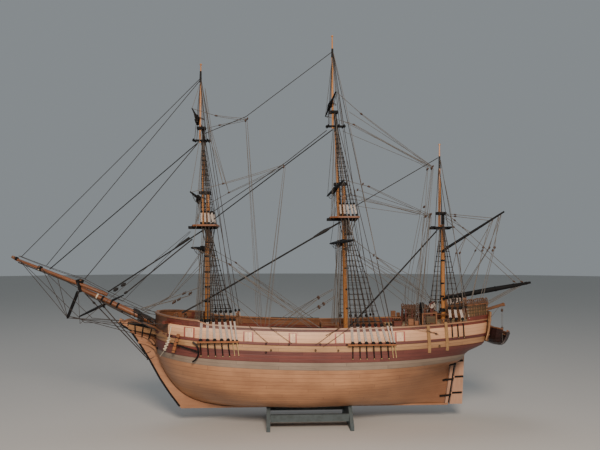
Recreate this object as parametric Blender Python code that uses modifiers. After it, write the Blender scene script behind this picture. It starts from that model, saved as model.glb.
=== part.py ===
# A bark-rigged wooden ship model on a small cradle, modelled at its own size.
#
# Frame: +X towards the stern, -Y to port, +Z up. The origin lies on the table, under the
# middle of the overall length. All driving sizes are in millimetres.

import math

import bmesh
import bpy
from mathutils import Matrix, Vector

MM = 0.001
GAP = 0.3                # between pieces that touch
MERGE = 0.00002          # metres

# Driving sizes
BOOM_END_X = 357.5       # the jibboom's tip and the boom's end are this far from the origin
KEEL_BOTTOM_Z = 22.0
KEEL_THICK = 5.0
HALF_BEAM = 65.0
WIDEST_Z = 100.0         # height of the greatest breadth amidships
FLOOR_Z = 24.5           # underside of the planking amidships
SECTION_POWER = 2.6      # how square the midship section is
SHEER_LOW_Z = 130.6      # lowest point of the sheer line
SHEER_LOW_X = 75.0
SHEER_CURVE = 0.00024    # per millimetre
DECK_BELOW_SHEER = 16.0
BULWARK_ABOVE_SHEER = 3.0
BOW_RAISE = 4.0          # the bulwark stands this much higher round the bow
BOW_BREAK_X = -100.0
BULWARK_THICK = 2.4
TRANSOM_THICK = 2.4
CAP_RAIL_THICK = 1.7
CAP_RAIL_OVER = 1.3
QUARTER_BOARD_X = 249.0
QUARTER_BOARD_ABOVE = 25.0
HINGE_LOW = (237.4, 23.0)     # rudder's axis: x, z
HINGE_HIGH = (250.8, 100.0)

# Hull lines by height: z, stem, sternpost or counter, half breadth at the after end
END_COLUMNS = ("z", "stem_x", "stern_x", "end_half")
ENDS = (
    (23.0, -62.0, 231.0, 0.0),
    (26.0, -82.0, 231.8, 0.0),
    (32.0, -108.0, 232.8, 0.0),
    (42.0, -128.0, 234.5, 0.0),
    (60.0, -145.5, 237.5, 0.0),
    (80.0, -157.0, 241.0, 0.0),
    (84.0, -158.8, 246.6, 14.0),
    (92.0, -161.6, 248.4, 31.0),
    (100.0, -163.6, 249.6, 39.0),
    (115.0, -165.0, 274.0, 42.5),
    (170.0, -166.0, 282.3, 41.5),
)
# Fullness by level: level, length and powers of the entrance, then of the run
FULLNESS_COLUMNS = ("level", "entry", "entry_out", "entry_in", "run", "run_out", "run_in")
FULLNESS = (
    (24.0, 130.0, 1.6, 0.95, 205.0, 1.45, 0.75),
    (45.0, 122.0, 1.8, 1.20, 185.0, 1.80, 0.85),
    (60.0, 110.0, 1.95, 1.45, 168.0, 2.10, 0.98),
    (80.0, 98.0, 2.05, 1.75, 150.0, 2.50, 1.40),
    (100.0, 92.0, 2.15, 2.00, 140.0, 2.30, 1.60),
    (120.0, 86.0, 2.25, 2.15, 150.0, 2.10, 1.70),
    (170.0, 82.0, 2.30, 2.20, 160.0, 2.00, 1.70),
)

# Masts: each spar is (foot x, foot z, head x, head z, foot radius, head radius)
SPAR_COLUMNS = ("foot_x", "foot_z", "head_x", "head_z", "foot_r", "head_r")
MASTS = {
    "fore": {
        "lower": (-96.7, 0.0, -97.3, 318.0, 3.4, 2.3),
        "topmast": (-103.9, 265.9, -104.3, 408.0, 2.2, 1.5),
        "topgallant": (-108.5, 385.5, -108.2, 496.9, 1.4, 0.8),
        "top_z": 268.9, "top_x": (-117.0, -83.0), "beak_x": -123.0,
        "cross_z": 389.5, "cross_x": (-119.0, -94.0),
    },
    "main": {
        "lower": (96.8, 0.0, 91.6, 331.0, 3.5, 2.4),
        "topmast": (85.2, 277.6, 80.6, 433.0, 2.3, 1.5),
        "topgallant": (76.9, 407.5, 76.4, 540.6, 1.5, 0.8),
        "top_z": 280.7, "top_x": (73.0, 111.0), "beak_x": 68.6,
        "cross_z": 411.5, "cross_x": (67.0, 95.0),
    },
    "mizzen": {
        "lower": (230.4, 0.0, 233.0, 290.5, 2.8, 1.9),
        "topmast": (227.7, 265.0, 229.2, 387.3, 1.7, 0.8),
        "top_z": 269.0, "top_x": (216.0, 243.0), "beak_x": 214.0,
    },
}
TOP_HALF_WIDTH = 18.0
TOP_THICK = 1.8
TREE_DEEP = 3.3          # trestletrees under each top
TREE_WIDE = 2.4
CAP_THICK = 3.4
TRUCK_R = 1.6
TRUCK_HIGH = 1.8

# Yards: mast, name, height, half length, middle radius
YARD_COLUMNS = ("mast", "name", "z", "half_length", "radius")
YARDS = (
    ("fore", "course", 238.5, 124.0, 2.4),
    ("fore", "topsail", 307.0, 98.0, 2.0),
    ("fore", "topgallant", 418.0, 66.0, 1.5),
    ("main", "course", 247.5, 134.0, 2.5),
    ("main", "topsail", 322.0, 105.0, 2.1),
    ("main", "topgallant", 441.0, 72.0, 1.6),
)
YARD_TIP = 0.45          # share of the middle radius

# Bowsprit and what it carries: x, z of its axis
BOWSPRIT_HEEL = (-160.4, 133.8)
BOWSPRIT_CAP = (-271.0, 185.2)
JIB_HEEL = (-232.0, 175.5)
JIB_TIP = (-BOOM_END_X, 225.1)
STRIKER_FOOT = (-285.3, 143.7)
SPRITSAIL_X = -236.0
SPRITSAIL_HALF = 108.0
SPRITSAIL_TILT = 5.0     # port arm this much lower than the middle

GAFF = ((236.5, 238.4), (321.3, 291.2), 1.9, 1.2)
BOOM = ((236.4, 169.6), (BOOM_END_X + 0.2, 190.7), 2.5, 1.7)
JAW_REACH = 5.5

# Channels: mast, first and last x, height, deadeye places
CHANNELS = {
    "fore": {"x": (-102.5, -50.0), "z": 120.6, "reach": 7.0, "foot_z": 101.0,
             "deadeyes": (-98.0, -89.2, -80.4, -71.6, -63.5), "backstays": (-57.5, -52.5)},
    "main": {"x": (88.0, 150.5), "z": 115.2, "reach": 6.0, "foot_z": 97.5,
             "deadeyes": (94.5, 103.5, 112.0, 121.0, 130.0, 139.0), "backstays": (144.5, 148.3)},
}
CHANNEL_THICK = 1.5
DEADEYE_R = 2.3
DEADEYE_THICK = 2.2

QUARTERDECK_X = (158.0, 273.0)
FORECASTLE_X = (-157.2, -101.0)
RAISED_DECK_BELOW_SHEER = 3.0

CRADLE = {"board_x": (-12.7, 97.0), "board_thick": 5.0, "foot_half": 44.0, "top_half": 21.0,
          "foot_high": 6.0, "bar_z": (9.6, 18.8), "bar_y": 30.0, "bar_thick": 5.0}

COLOURS = {
    "planking": ("B4886A", 0.55, 0.0),
    "keel_wood": ("C09372", 0.55, 0.0),
    "dark_red_wood": ("6A2F26", 0.50, 0.0),
    "spar_wood": ("C08A4A", 0.45, 0.0),
    "jibboom_wood": ("A5552A", 0.45, 0.0),
    "black_wood": ("1C1B1E", 0.45, 0.0),
    "top_wood": ("B0693C", 0.50, 0.0),
    "deck_wood": ("B99A6B", 0.60, 0.0),
    "rail_wood": ("8A5A38", 0.55, 0.0),
    "light_wood": ("C6A07A", 0.55, 0.0),
    "blackened_brass": ("242226", 0.40, 0.8),
    "black_rope": ("232020", 0.85, 0.0),
    "cradle_paint": ("6B787A", 0.60, 0.0),
    "boat_wood": ("43251F", 0.55, 0.0),
}


def clear_scene():
    for obj in list(bpy.data.objects):
        bpy.data.objects.remove(obj, do_unlink=True)
    for name in ("ship_model", "cutters"):
        collection = bpy.data.collections.get(name) or bpy.data.collections.new(name)
        if collection.name not in bpy.context.scene.collection.children:
            bpy.context.scene.collection.children.link(collection)


def to_linear(value):
    return value / 12.92 if value <= 0.04045 else ((value + 0.055) / 1.055) ** 2.4


def material(name):
    found = bpy.data.materials.get(name)
    if found:
        return found
    hex_colour, roughness, metallic = COLOURS[name]
    channels = [to_linear(int(hex_colour[i:i + 2], 16) / 255) for i in (0, 2, 4)]
    made = bpy.data.materials.new(name)
    made.use_nodes = True
    shader = made.node_tree.nodes["Principled BSDF"]
    shader.inputs["Base Color"].default_value = (*channels, 1.0)
    shader.inputs["Roughness"].default_value = roughness
    shader.inputs["Metallic"].default_value = metallic
    return made


def add_object(name, data, finish):
    obj = bpy.data.objects.new(name, data)
    data.materials.append(material(finish))
    bpy.data.collections["ship_model"].objects.link(obj)
    return obj


def from_bmesh(name, bm, finish, smooth=True):
    mesh = bpy.data.meshes.new(name)
    bm.to_mesh(mesh)
    bm.free()
    if smooth:
        mesh.shade_smooth()
        mesh.set_sharp_from_angle(angle=math.radians(35))
    return add_object(name, mesh, finish)


def point(x, y, z):
    return Vector((x, y, z)) * MM


# Hull form

def table_value(table, columns, name, at):
    """Read one column of a table at a height, on a smooth curve through its rows."""
    place = columns.index(name)
    rows = [(row[0], row[place]) for row in table]
    if at <= rows[0][0]:
        return rows[0][1]
    if at >= rows[-1][0]:
        return rows[-1][1]
    i = max(k for k in range(len(rows) - 1) if rows[k][0] <= at)
    (x0, y0), (x1, y1) = rows[i], rows[i + 1]
    slope = (y1 - y0) / (x1 - x0)
    before = (y0 - rows[i - 1][1]) / (x0 - rows[i - 1][0]) if i > 0 else slope
    after = (rows[i + 2][1] - y1) / (rows[i + 2][0] - x1) if i + 2 < len(rows) else slope
    start = joint_slope(before, slope)
    end = joint_slope(slope, after)
    t = (at - x0) / (x1 - x0)
    width = x1 - x0
    return (y0 * (1 + 2 * t) * (1 - t) ** 2 + width * start * t * (1 - t) ** 2
            + y1 * t * t * (3 - 2 * t) + width * end * t * t * (t - 1))


def joint_slope(a, b):
    return 0.0 if a * b <= 0 else 2 * a * b / (a + b)


def rise(x):
    return SHEER_CURVE * (x - SHEER_LOW_X) ** 2


def sheer_z(x):
    return SHEER_LOW_Z + rise(x)


def deck_z(x):
    return sheer_z(x) - DECK_BELOW_SHEER


LEVEL_BASE = 50.0        # below this the levels are flat, above it they take up the sheer
LEVEL_SPAN = SHEER_LOW_Z - DECK_BELOW_SHEER - LEVEL_BASE


def z_of_level(x, level):
    share = min(max((level - LEVEL_BASE) / LEVEL_SPAN, 0.0), 1.0)
    return level + rise(x) * share


def level_of_z(x, z):
    lift = rise(x)
    if z <= LEVEL_BASE:
        return z
    level = (z + LEVEL_BASE * lift / LEVEL_SPAN) / (1 + lift / LEVEL_SPAN)
    return level if level <= LEVEL_BASE + LEVEL_SPAN else z - lift


def midship_half(level):
    if level >= WIDEST_Z:
        return HALF_BEAM - 0.0034 * (level - WIDEST_Z) ** 2
    drop = min((WIDEST_Z - level) / (WIDEST_Z - FLOOR_Z), 1.0)
    return HALF_BEAM * (1 - drop ** SECTION_POWER) ** (1 / SECTION_POWER)


def rounding(t, outer, inner):
    t = min(max(t, 0.0), 1.0)
    return (1 - (1 - t) ** outer) ** (1 / inner)


def hull_half(x, z):
    """Half breadth of the hull's outside at a place along it and a height."""
    level = level_of_z(x, z)
    end = table_value(ENDS, END_COLUMNS, "end_half", z)
    stem = table_value(ENDS, END_COLUMNS, "stem_x", z)
    stern = table_value(ENDS, END_COLUMNS, "stern_x", z)
    shape = {name: table_value(FULLNESS, FULLNESS_COLUMNS, name, level) for name in FULLNESS_COLUMNS[1:]}
    entrance = rounding((x - stem) / shape["entry"], shape["entry_out"], shape["entry_in"])
    run = rounding((stern - x) / shape["run"], shape["run_out"], shape["run_in"])
    full = midship_half(level)
    end = min(end, full)
    return (end + (full - end) * run) * entrance


def hull_end(level, column):
    x = -160.0 if column == "stem_x" else 250.0
    for _ in range(8):
        x = table_value(ENDS, END_COLUMNS, column, z_of_level(x, level))
    return x


def along(u):
    """Spacing of the stations, closest at the stem and close at the stern."""
    return 2.55 * u * u - 1.55 * u ** 3


def section_levels():
    """Heights of the rows: close together at the bilge, and again at the counter."""
    levels = []
    rounded = 7
    for k in range(rounded):
        angle = math.radians(62 * k / rounded)
        drop = math.cos(angle) ** (2 / SECTION_POWER)
        levels.append(WIDEST_Z - (WIDEST_Z - FLOOR_Z) * drop)
    levels += [56.0, 64.0, 72.0, 78.0, 82.0, 86.0, 90.0, 94.0, 97.0, 100.0, 104.0, 109.0]
    levels.append(SHEER_LOW_Z - DECK_BELOW_SHEER)
    return levels


STATIONS = 40
STERN_CLEAR = 1.8
TRANSOM_STEPS = 3


def make_hull():
    levels = section_levels()
    columns = STATIONS + TRANSOM_STEPS
    rows = len(levels) - 1 + TRANSOM_STEPS
    bm = bmesh.new()
    bmesh.ops.create_grid(bm, x_segments=columns, y_segments=rows, size=0.5)
    corner = []
    for vert in bm.verts:
        i = round((vert.co.x + 0.5) * columns)
        j = round((vert.co.y + 0.5) * rows)
        inward_x = max(i - STATIONS, 0) / TRANSOM_STEPS
        inward_y = max(j - (len(levels) - 1), 0) / TRANSOM_STEPS
        if inward_x > 0 and inward_y > 0:
            corner.append(vert)
            continue
        level = levels[min(j, len(levels) - 1)]
        stem = hull_end(level, "stem_x")
        stern = hull_end(level, "stern_x")
        x = stem + (stern - stem) * along(min(i, STATIONS) / STATIONS)
        z = z_of_level(x, level)
        y = hull_half(x, z)
        if i == 0 or j == 0:
            y = 0.0
        vert.co = point(x, -y * (1 - inward_x) * (1 - inward_y), z)
    bmesh.ops.delete(bm, geom=corner, context="VERTS")
    bmesh.ops.remove_doubles(bm, verts=bm.verts, dist=MERGE)
    bmesh.ops.dissolve_degenerate(bm, edges=bm.edges, dist=MERGE)
    for vert in bm.verts:
        if abs(vert.co.y) < MERGE:
            vert.co.y = 0.0
    bmesh.ops.recalc_face_normals(bm, faces=bm.faces)
    hull = from_bmesh("hull", bm, "planking")
    mirror = hull.modifiers.new("starboard_half", "MIRROR")
    mirror.use_axis = (False, True, False)
    mirror.merge_threshold = MERGE
    return hull


# Strips that follow the hull's side, such as bulwarks and rails

def bow_start(z_of, first_y):
    """Where the hull's side is first_y from the middle, at the height z_of(x)."""
    start = table_value(ENDS, END_COLUMNS, "stem_x", z_of(-160.0))
    while hull_half(start, z_of(start)) < first_y:
        start += 0.02
    return start


def stern_stop(z_of):
    """Where the hull's side ends, just before the stern's board."""
    x = 272.0
    for _ in range(8):
        x = table_value(ENDS, END_COLUMNS, "stern_x", z_of(x)) - STERN_CLEAR
    return x


def plan_curve(z_of, first_x, last_x, count, outset=0.0):
    """Points along the port side at the height z_of(x), pushed out by outset in plan."""
    places = [first_x + (last_x - first_x) * along(k / (count - 1)) for k in range(count)]
    curve = []
    for x in places:
        step = 0.05
        ahead = hull_half(x + step, z_of(x))
        here = hull_half(x, z_of(x))
        slope = (ahead - here) / step
        length = math.hypot(1.0, slope)
        curve.append((x - outset * slope / length, here + outset / length, z_of(x)))
    return curve


def side_strip(name, finish, heights, outer, inner, ends, count, side):
    """A closed strip between two heights and two offsets from the hull's outside.

    Its fore end is an x, or, where it meets the stem, None and a distance from the middle.
    Its after end is at the stern."""
    low_of, high_of = heights
    first_x, first_y = ends
    corners = []
    for z_of, outset in ((low_of, outer), (high_of, outer), (high_of, -inner), (low_of, -inner)):
        start = bow_start(z_of, first_y) if first_x is None else first_x
        corners.append(plan_curve(z_of, start, stern_stop(z_of), count, outset))
    bm = bmesh.new()
    rings = [[bm.verts.new(point(x, side * y, z)) for x, y, z in (curve[k] for curve in corners)]
             for k in range(count)]
    for ring, following in zip(rings, rings[1:]):
        for a in range(4):
            b = (a + 1) % 4
            bm.faces.new((ring[a], ring[b], following[b], following[a]))
    bm.faces.new(rings[0])
    bm.faces.new(rings[-1])
    bmesh.ops.recalc_face_normals(bm, faces=bm.faces)
    return from_bmesh(name, bm, finish)


def bow_step(x):
    """0 along the waist, 1 round the bow, with a short ramp between."""
    return min(max((BOW_BREAK_X - x) / 6.0 + 0.5, 0.0), 1.0)


def bulwark_top(x):
    return sheer_z(x) + BULWARK_ABOVE_SHEER + BOW_RAISE * bow_step(x)


def cap_low(x):
    return bulwark_top(x) + GAP


def cap_top(x):
    return cap_low(x) + CAP_RAIL_THICK


def make_sides():
    """Bulwarks with their catheads, and cap rails with the quarter boards that stand on them."""
    for word, side in (("port", -1), ("starboard", 1)):
        bulwark = side_strip("bulwark_" + word, "dark_red_wood", (lambda x: deck_z(x) + GAP, bulwark_top),
                             0.0, BULWARK_THICK, (None, 5.0), 40, side)
        combine(bulwark, [make_cathead(word, side)])
        rail = side_strip("cap_rail_" + word, "light_wood", (cap_low, cap_top),
                          CAP_RAIL_OVER, BULWARK_THICK + CAP_RAIL_OVER, (None, 6.0), 40, side)
        board = side_strip("quarter_board_" + word, "rail_wood",
                           (lambda x: cap_low(x) + 0.8, lambda x: sheer_z(x) + QUARTER_BOARD_ABOVE),
                           0.2, BULWARK_THICK - 0.4, (QUARTER_BOARD_X, None), 5, side)
        combine(rail, [board])


def deck_block(name, x_range, finish):
    """A raised deck: a closed block between the bulwarks."""
    inset = BULWARK_THICK + GAP + 0.3
    steps = 14
    bm = bmesh.new()
    bmesh.ops.create_grid(bm, x_segments=steps, y_segments=2, size=0.5)
    low, high = x_range
    for vert in bm.verts:
        x = low + (high - low) * (vert.co.x + 0.5)
        z = sheer_z(x) - RAISED_DECK_BELOW_SHEER
        y = min(hull_half(x, z), hull_half(x, deck_z(x)), hull_half(x - inset, z)) - inset
        vert.co = point(x, 2 * vert.co.y * max(y, 4.0), z)
    block = bmesh.ops.extrude_face_region(bm, geom=bm.faces[:])
    for item in block["geom"]:
        if isinstance(item, bmesh.types.BMVert):
            item.co.z = (deck_z(item.co.x / MM) + GAP) * MM
    bmesh.ops.recalc_face_normals(bm, faces=bm.faces)
    return from_bmesh(name, bm, finish)


# Flat pieces, cut from an outline

def flat_curve(name, outline, thick, finish, plane="xz", offset=0.0):
    """A flat outline in the xz, yz or xy plane, as thick as given, about an offset."""
    curve = bpy.data.curves.new(name, "CURVE")
    curve.dimensions = "2D"
    curve.fill_mode = "BOTH"
    curve.extrude = thick / 2 * MM
    spline = curve.splines.new("POLY")
    spline.points.add(len(outline) - 1)
    for target, (a, b) in zip(spline.points, outline):
        target.co = (a * MM, b * MM, 0.0, 1.0)
    spline.use_cyclic_u = True
    obj = add_object(name, curve, finish)
    if plane == "xz":
        obj.rotation_euler = (math.pi / 2, 0.0, 0.0)
        obj.location = point(0.0, offset, 0.0)
    elif plane == "yz":
        obj.rotation_euler = (math.pi / 2, 0.0, math.pi / 2)
        obj.location = point(offset, 0.0, 0.0)
    else:
        obj.location = point(0.0, 0.0, offset)
    return obj


def as_mesh(obj):
    """Turn a curve object into a closed mesh object of the same name."""
    bpy.context.view_layer.update()
    mesh = bpy.data.meshes.new_from_object(obj.evaluated_get(bpy.context.evaluated_depsgraph_get()))
    name = obj.name
    matrix = obj.matrix_world.copy()
    bpy.data.objects.remove(obj, do_unlink=True)
    bm = bmesh.new()
    bm.from_mesh(mesh)
    bmesh.ops.remove_doubles(bm, verts=bm.verts, dist=MERGE)
    bmesh.ops.recalc_face_normals(bm, faces=bm.faces)
    bm.to_mesh(mesh)
    bm.free()
    made = bpy.data.objects.new(name, mesh)
    mesh.name = name
    bpy.data.collections["ship_model"].objects.link(made)
    made.matrix_world = matrix
    return made


def move_to_cutters(obj):
    bpy.data.collections["ship_model"].objects.unlink(obj)
    bpy.data.collections["cutters"].objects.link(obj)
    obj.hide_render = True
    obj.display_type = "WIRE"


def combine(obj, others, operation="UNION"):
    """Join or cut with other objects, which go to the cutters."""
    for other in others:
        move_to_cutters(other)
        modifier = obj.modifiers.new(other.name, "BOOLEAN")
        modifier.operation = operation
        modifier.object = other
        modifier.solver = "EXACT"
    return obj


def hang_on_joint(piece, place):
    """Parent a moving piece, and what is joined to it, to an empty on its joint's axis."""
    empty = bpy.data.objects.new(piece.name + "_joint", None)
    bpy.data.collections["ship_model"].objects.link(empty)
    empty.location = point(*place)
    joined = [modifier.object for modifier in piece.modifiers if modifier.type == "BOOLEAN"]
    for obj in [piece] + joined:
        obj.parent = empty
        obj.matrix_parent_inverse = Matrix.Translation(-empty.location)
    return piece


def box(name, low, high, finish):
    bm = bmesh.new()
    bmesh.ops.create_cube(bm, size=1.0)
    for vert in bm.verts:
        vert.co = point(*(low[k] if vert.co[k] < 0 else high[k] for k in range(3)))
    return from_bmesh(name, bm, finish, smooth=False)


def beam(name, start, end, wide, deep, finish):
    """A square bar from one point to another, wide across and deep up and down."""
    a, b = point(*start), point(*end)
    length = (b - a).length
    bm = bmesh.new()
    bmesh.ops.create_cube(bm, size=1.0)
    for vert in bm.verts:
        vert.co = Vector((vert.co.x * wide * MM, vert.co.y * deep * MM, (vert.co.z + 0.5) * length))
    obj = from_bmesh(name, bm, finish, smooth=False)
    obj.location = a
    obj.rotation_euler = (b - a).to_track_quat("Z", "Y").to_euler()
    return obj


# Round pieces

def turned(name, start, end, profile, finish, steps=12):
    """A turned spar. The profile holds (share of the length, radius) from start to end."""
    a, b = point(*start), point(*end)
    length = (b - a).length
    outline = [(0.0, length)] + [(r * MM, s * length) for s, r in reversed(profile)] + [(0.0, 0.0)]
    bm = bmesh.new()
    verts = [bm.verts.new((r, 0.0, z)) for r, z in outline]
    for first, second in zip(verts, verts[1:]):
        bm.edges.new((first, second))
    mesh = bpy.data.meshes.new(name)
    bm.to_mesh(mesh)
    bm.free()
    obj = add_object(name, mesh, finish)
    screw = obj.modifiers.new("turn", "SCREW")
    screw.steps = steps
    screw.render_steps = steps
    screw.use_merge_vertices = True
    screw.merge_threshold = MERGE
    screw.use_smooth_shade = True
    obj.location = a
    obj.rotation_euler = (b - a).to_track_quat("Z", "Y").to_euler()
    return obj


def disc(name, centre, axis, radius, thick, finish, steps=12):
    middle = Vector(centre)
    half = Vector(axis).normalized() * thick / 2
    return turned(name, middle - half, middle + half, ((0.0, radius), (1.0, radius)), finish, steps)


def tube(name, points, radius, finish):
    """A round tube along points, with closed ends."""
    curve = bpy.data.curves.new(name, "CURVE")
    curve.dimensions = "3D"
    curve.bevel_depth = radius * MM
    curve.bevel_resolution = 1
    curve.use_fill_caps = True
    spline = curve.splines.new("POLY")
    spline.points.add(len(points) - 1)
    for target, place in zip(spline.points, points):
        target.co = (*point(*place), 1.0)
    return add_object(name, curve, finish)


# Keel, stem, sternpost and rudder

def hinge_x(z):
    (x0, z0), (x1, z1) = HINGE_LOW, HINGE_HIGH
    return x0 + (x1 - x0) * (z - z0) / (z1 - z0)


STEM_HEAD_Z = 131.2
STEM_FRONT = ((-133.3, 24.6), (-146.9, 42.5), (-160.5, 62.8), (-174.2, 87.3), (-187.9, 109.0),
              (-201.5, 128.0), (-211.5, 133.5), (-216.0, 138.5), (-214.5, 143.5))
STEM_TOP = ((-209.0, 141.0), (-195.0, 138.5), (-180.0, 137.0), (-172.0, 133.6))
KEEL_FORE_X = -62.0


def make_backbone():
    rabbet = []
    steps = 26
    for k in range(steps + 1):
        z = FLOOR_Z + (STEM_HEAD_Z - FLOOR_Z) * (k / steps) ** 2
        rabbet.append((table_value(ENDS, END_COLUMNS, "stem_x", z) - 1.5 * GAP, z - 1.5 * GAP))
    rabbet[0] = (KEEL_FORE_X - GAP, FLOOR_Z - GAP)
    outline = [(KEEL_FORE_X - GAP, KEEL_BOTTOM_Z), (-130.6, KEEL_BOTTOM_Z)]
    outline += list(STEM_FRONT) + list(STEM_TOP) + list(reversed(rabbet))
    flat_curve("stem", outline, KEEL_THICK, "keel_wood")
    aft = hinge_x(KEEL_BOTTOM_Z) - 0.8
    box("keel", (KEEL_FORE_X, -KEEL_THICK / 2, KEEL_BOTTOM_Z),
        (aft, KEEL_THICK / 2, FLOOR_Z - GAP), "keel_wood")
    make_sternpost()
    make_rudder()


# Straps that hold the rudder: height, length on the rudder, length on the sternpost
STRAP_COLUMNS = ("z", "rudder_reach", "post_reach")
STRAPS = ((38.4, 15.5, 5.2), (60.4, 13.5, 5.2), (82.2, 11.5, 5.2))
STRAP_HIGH = 2.6
STRAP_PROUD = 0.6
KNUCKLE_R = 1.2
RUDDER_THICK = 4.4
RUDDER_FORE = 1.6        # clear of the hinge line, so that the rudder can turn
POST_AFT = 1.6
RUDDER_TOP = 97.5


def strap(name, z, reach, towards, finish="blackened_brass", half=RUDDER_THICK / 2):
    """A strap on a flat piece beside the hinge: a band across it and a knuckle on the axis."""
    x = hinge_x(z)
    ends = sorted((x + towards * 0.5, x + towards * reach))
    band = box(name, (ends[0], -half - STRAP_PROUD, z - STRAP_HIGH / 2),
               (ends[1], half + STRAP_PROUD, z + STRAP_HIGH / 2), finish)
    rise_x = hinge_x(z + STRAP_HIGH / 2) - hinge_x(z - STRAP_HIGH / 2)
    knuckle = turned(name + "_knuckle", (x - rise_x / 2, 0, z - STRAP_HIGH / 2),
                     (x + rise_x / 2, 0, z + STRAP_HIGH / 2), ((0.0, KNUCKLE_R), (1.0, KNUCKLE_R)), finish)
    return [band, knuckle]


def make_sternpost():
    low_z, high_z = FLOOR_Z, 80.5
    front = []
    for k in range(15):
        z = 79.0 - (79.0 - 25.0) * k / 14
        front.append((table_value(ENDS, END_COLUMNS, "stern_x", z) + 3 * GAP, z))
    outline = [(front[-1][0], low_z), (hinge_x(low_z) - POST_AFT, low_z),
               (hinge_x(high_z) - POST_AFT, high_z), (front[0][0] + 0.4, high_z)] + front
    post = as_mesh(flat_curve("sternpost", outline, KEEL_THICK, "keel_wood"))
    pieces = []
    for z, _, reach in STRAPS[:2]:
        pieces += strap("gudgeon_%d" % round(z), z - STRAP_HIGH - 0.5, reach, -1, half=KEEL_THICK / 2)
    combine(post, pieces)


def make_rudder():
    outline = [(hinge_x(KEEL_BOTTOM_Z + 1.0) + RUDDER_FORE, KEEL_BOTTOM_Z + 1.0),
               (256.5, KEEL_BOTTOM_Z + 1.0), (260.4, 91.8), (260.6, RUDDER_TOP + 1.5),
               (hinge_x(RUDDER_TOP) + RUDDER_FORE, RUDDER_TOP - 1.5)]
    rudder = as_mesh(flat_curve("rudder", outline, RUDDER_THICK, "keel_wood"))
    pieces = []
    for z, reach, _ in STRAPS:
        pieces += strap("pintle_%d" % round(z), z, reach, 1)
    combine(rudder, pieces)
    hang_on_joint(rudder, (HINGE_LOW[0], 0.0, HINGE_LOW[1]))


# Masts, tops and yards

def spar_x(spar, z):
    x0, z0, x1, z1 = spar[:4]
    return x0 + (x1 - x0) * (z - z0) / (z1 - z0)


def deck_top(x):
    raised = QUARTERDECK_X[0] < x < QUARTERDECK_X[1] or FORECASTLE_X[0] < x < FORECASTLE_X[1]
    return sheer_z(x) - (RAISED_DECK_BELOW_SHEER if raised else DECK_BELOW_SHEER)


def mast_spar(name, spar, foot_z, finish, truck=False):
    row = dict(zip(SPAR_COLUMNS, spar))
    start = (spar_x(spar, foot_z), 0.0, foot_z)
    end = (row["head_x"], 0.0, row["head_z"])
    middle = row["foot_r"] * 0.62 + row["head_r"] * 0.38
    profile = [(0.0, row["foot_r"]), (0.35, row["foot_r"] * 0.97), (0.75, middle), (1.0, row["head_r"])]
    if truck:
        share = 1 - TRUCK_HIGH / (row["head_z"] - foot_z)
        profile[-1] = (share, row["head_r"])
        profile += [(share + 0.0001, TRUCK_R), (1.0 - 0.002, TRUCK_R), (1.0, TRUCK_R * 0.6)]
    return turned(name, start, end, profile, finish)


def make_top(mast, plan, half_width, square=True):
    """The platform at a lower masthead, with the trestletrees under it."""
    lower, topmast = plan["lower"], plan["topmast"]
    z = plan["top_z"]
    fore, aft = plan["top_x"]
    name = mast + "_top"
    if square:
        corner = 9.0
        outline = [(aft, -half_width), (aft, half_width), (fore + corner, half_width),
                   (fore + corner * 0.35, half_width * 0.8), (fore, half_width * 0.4),
                   (fore, -half_width * 0.4), (fore + corner * 0.35, -half_width * 0.8),
                   (fore + corner, -half_width)]
        top = as_mesh(flat_curve(name, outline, TOP_THICK, "top_wood", "xy", z + TOP_THICK / 2))
    else:
        top = box(name, (fore, -2.5, z - 0.6), (fore + 5.0, 2.5, z + 1.2), "black_wood")
    inner = lower[4] + 0.4
    trees = []
    for word, near, far in (("port", -inner - TREE_WIDE, -inner), ("starboard", inner, inner + TREE_WIDE)):
        trees.append(box("%s_tree_%s" % (name, word), (plan["beak_x"], near, z - TREE_DEEP),
                         (aft - 1.0, far, z + 0.4), "black_wood"))
    cross = []
    for k, x in enumerate((fore + 2.0, spar_x(lower, z) + lower[4] + 1.0, aft - 3.0)):
        reach = half_width * (0.8 if k == 0 else 0.97)
        cross.append(box("%s_cross_%d" % (name, k), (x, -reach, z - 1.8),
                         (x + 2.2, reach, z + 0.4), "black_wood"))
    combine(top, trees + cross)
    holes = [disc(name + "_masthead_hole", (spar_x(lower, z), 0.0, z), (0, 0, 1),
                  lower[4] + 0.1, 24.0, "black_wood", 16),
             disc(name + "_heel_hole", (spar_x(topmast, z), 0.0, z), (0, 0, 1),
                  topmast[4] + GAP, 24.0, "black_wood", 16)]
    combine(top, holes, "DIFFERENCE")
    return top


def make_cap(name, lower, upper, z, owner):
    """A cap joins a masthead to the spar in front of it, and is part of the masthead."""
    back, front = spar_x(lower, z), spar_x(upper, z)
    half = max(lower[5], upper[5]) + 2.0
    cap = box(name, (front - half - 0.6, -half, z - CAP_THICK), (back + half, half, z), "black_wood")
    along = (upper[2] - upper[0], 0, upper[3] - upper[1])
    middle = (front, 0.0, z - CAP_THICK / 2)
    hole = disc(name + "_hole", middle, along, upper[4] + GAP, CAP_THICK * 4, "black_wood", 16)
    combine(owner, [cap])
    combine(owner, [hole], "DIFFERENCE")


def make_crosstrees(mast, plan):
    topmast, above = plan["topmast"], plan["topgallant"]
    z = plan["cross_z"]
    fore, aft = plan["cross_x"]
    name = mast + "_crosstrees"
    inner = topmast[5] + 0.75
    first = box(name, (fore, -inner - 1.6, z - 1.8), (aft, -inner, z), "black_wood")
    others = [box(name + "_tree", (fore, inner, z - 1.8), (aft, inner + 1.6, z), "black_wood")]
    for k, x in enumerate((fore + 2.0, spar_x(topmast, z) + topmast[5] + 1.0, aft - 4.0)):
        others.append(box("%s_arm_%d" % (name, k), (x, -12.0, z - 1.4),
                          (x + 1.6, 12.0, z - 0.2), "black_wood"))
    combine(first, others)
    return first


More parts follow.
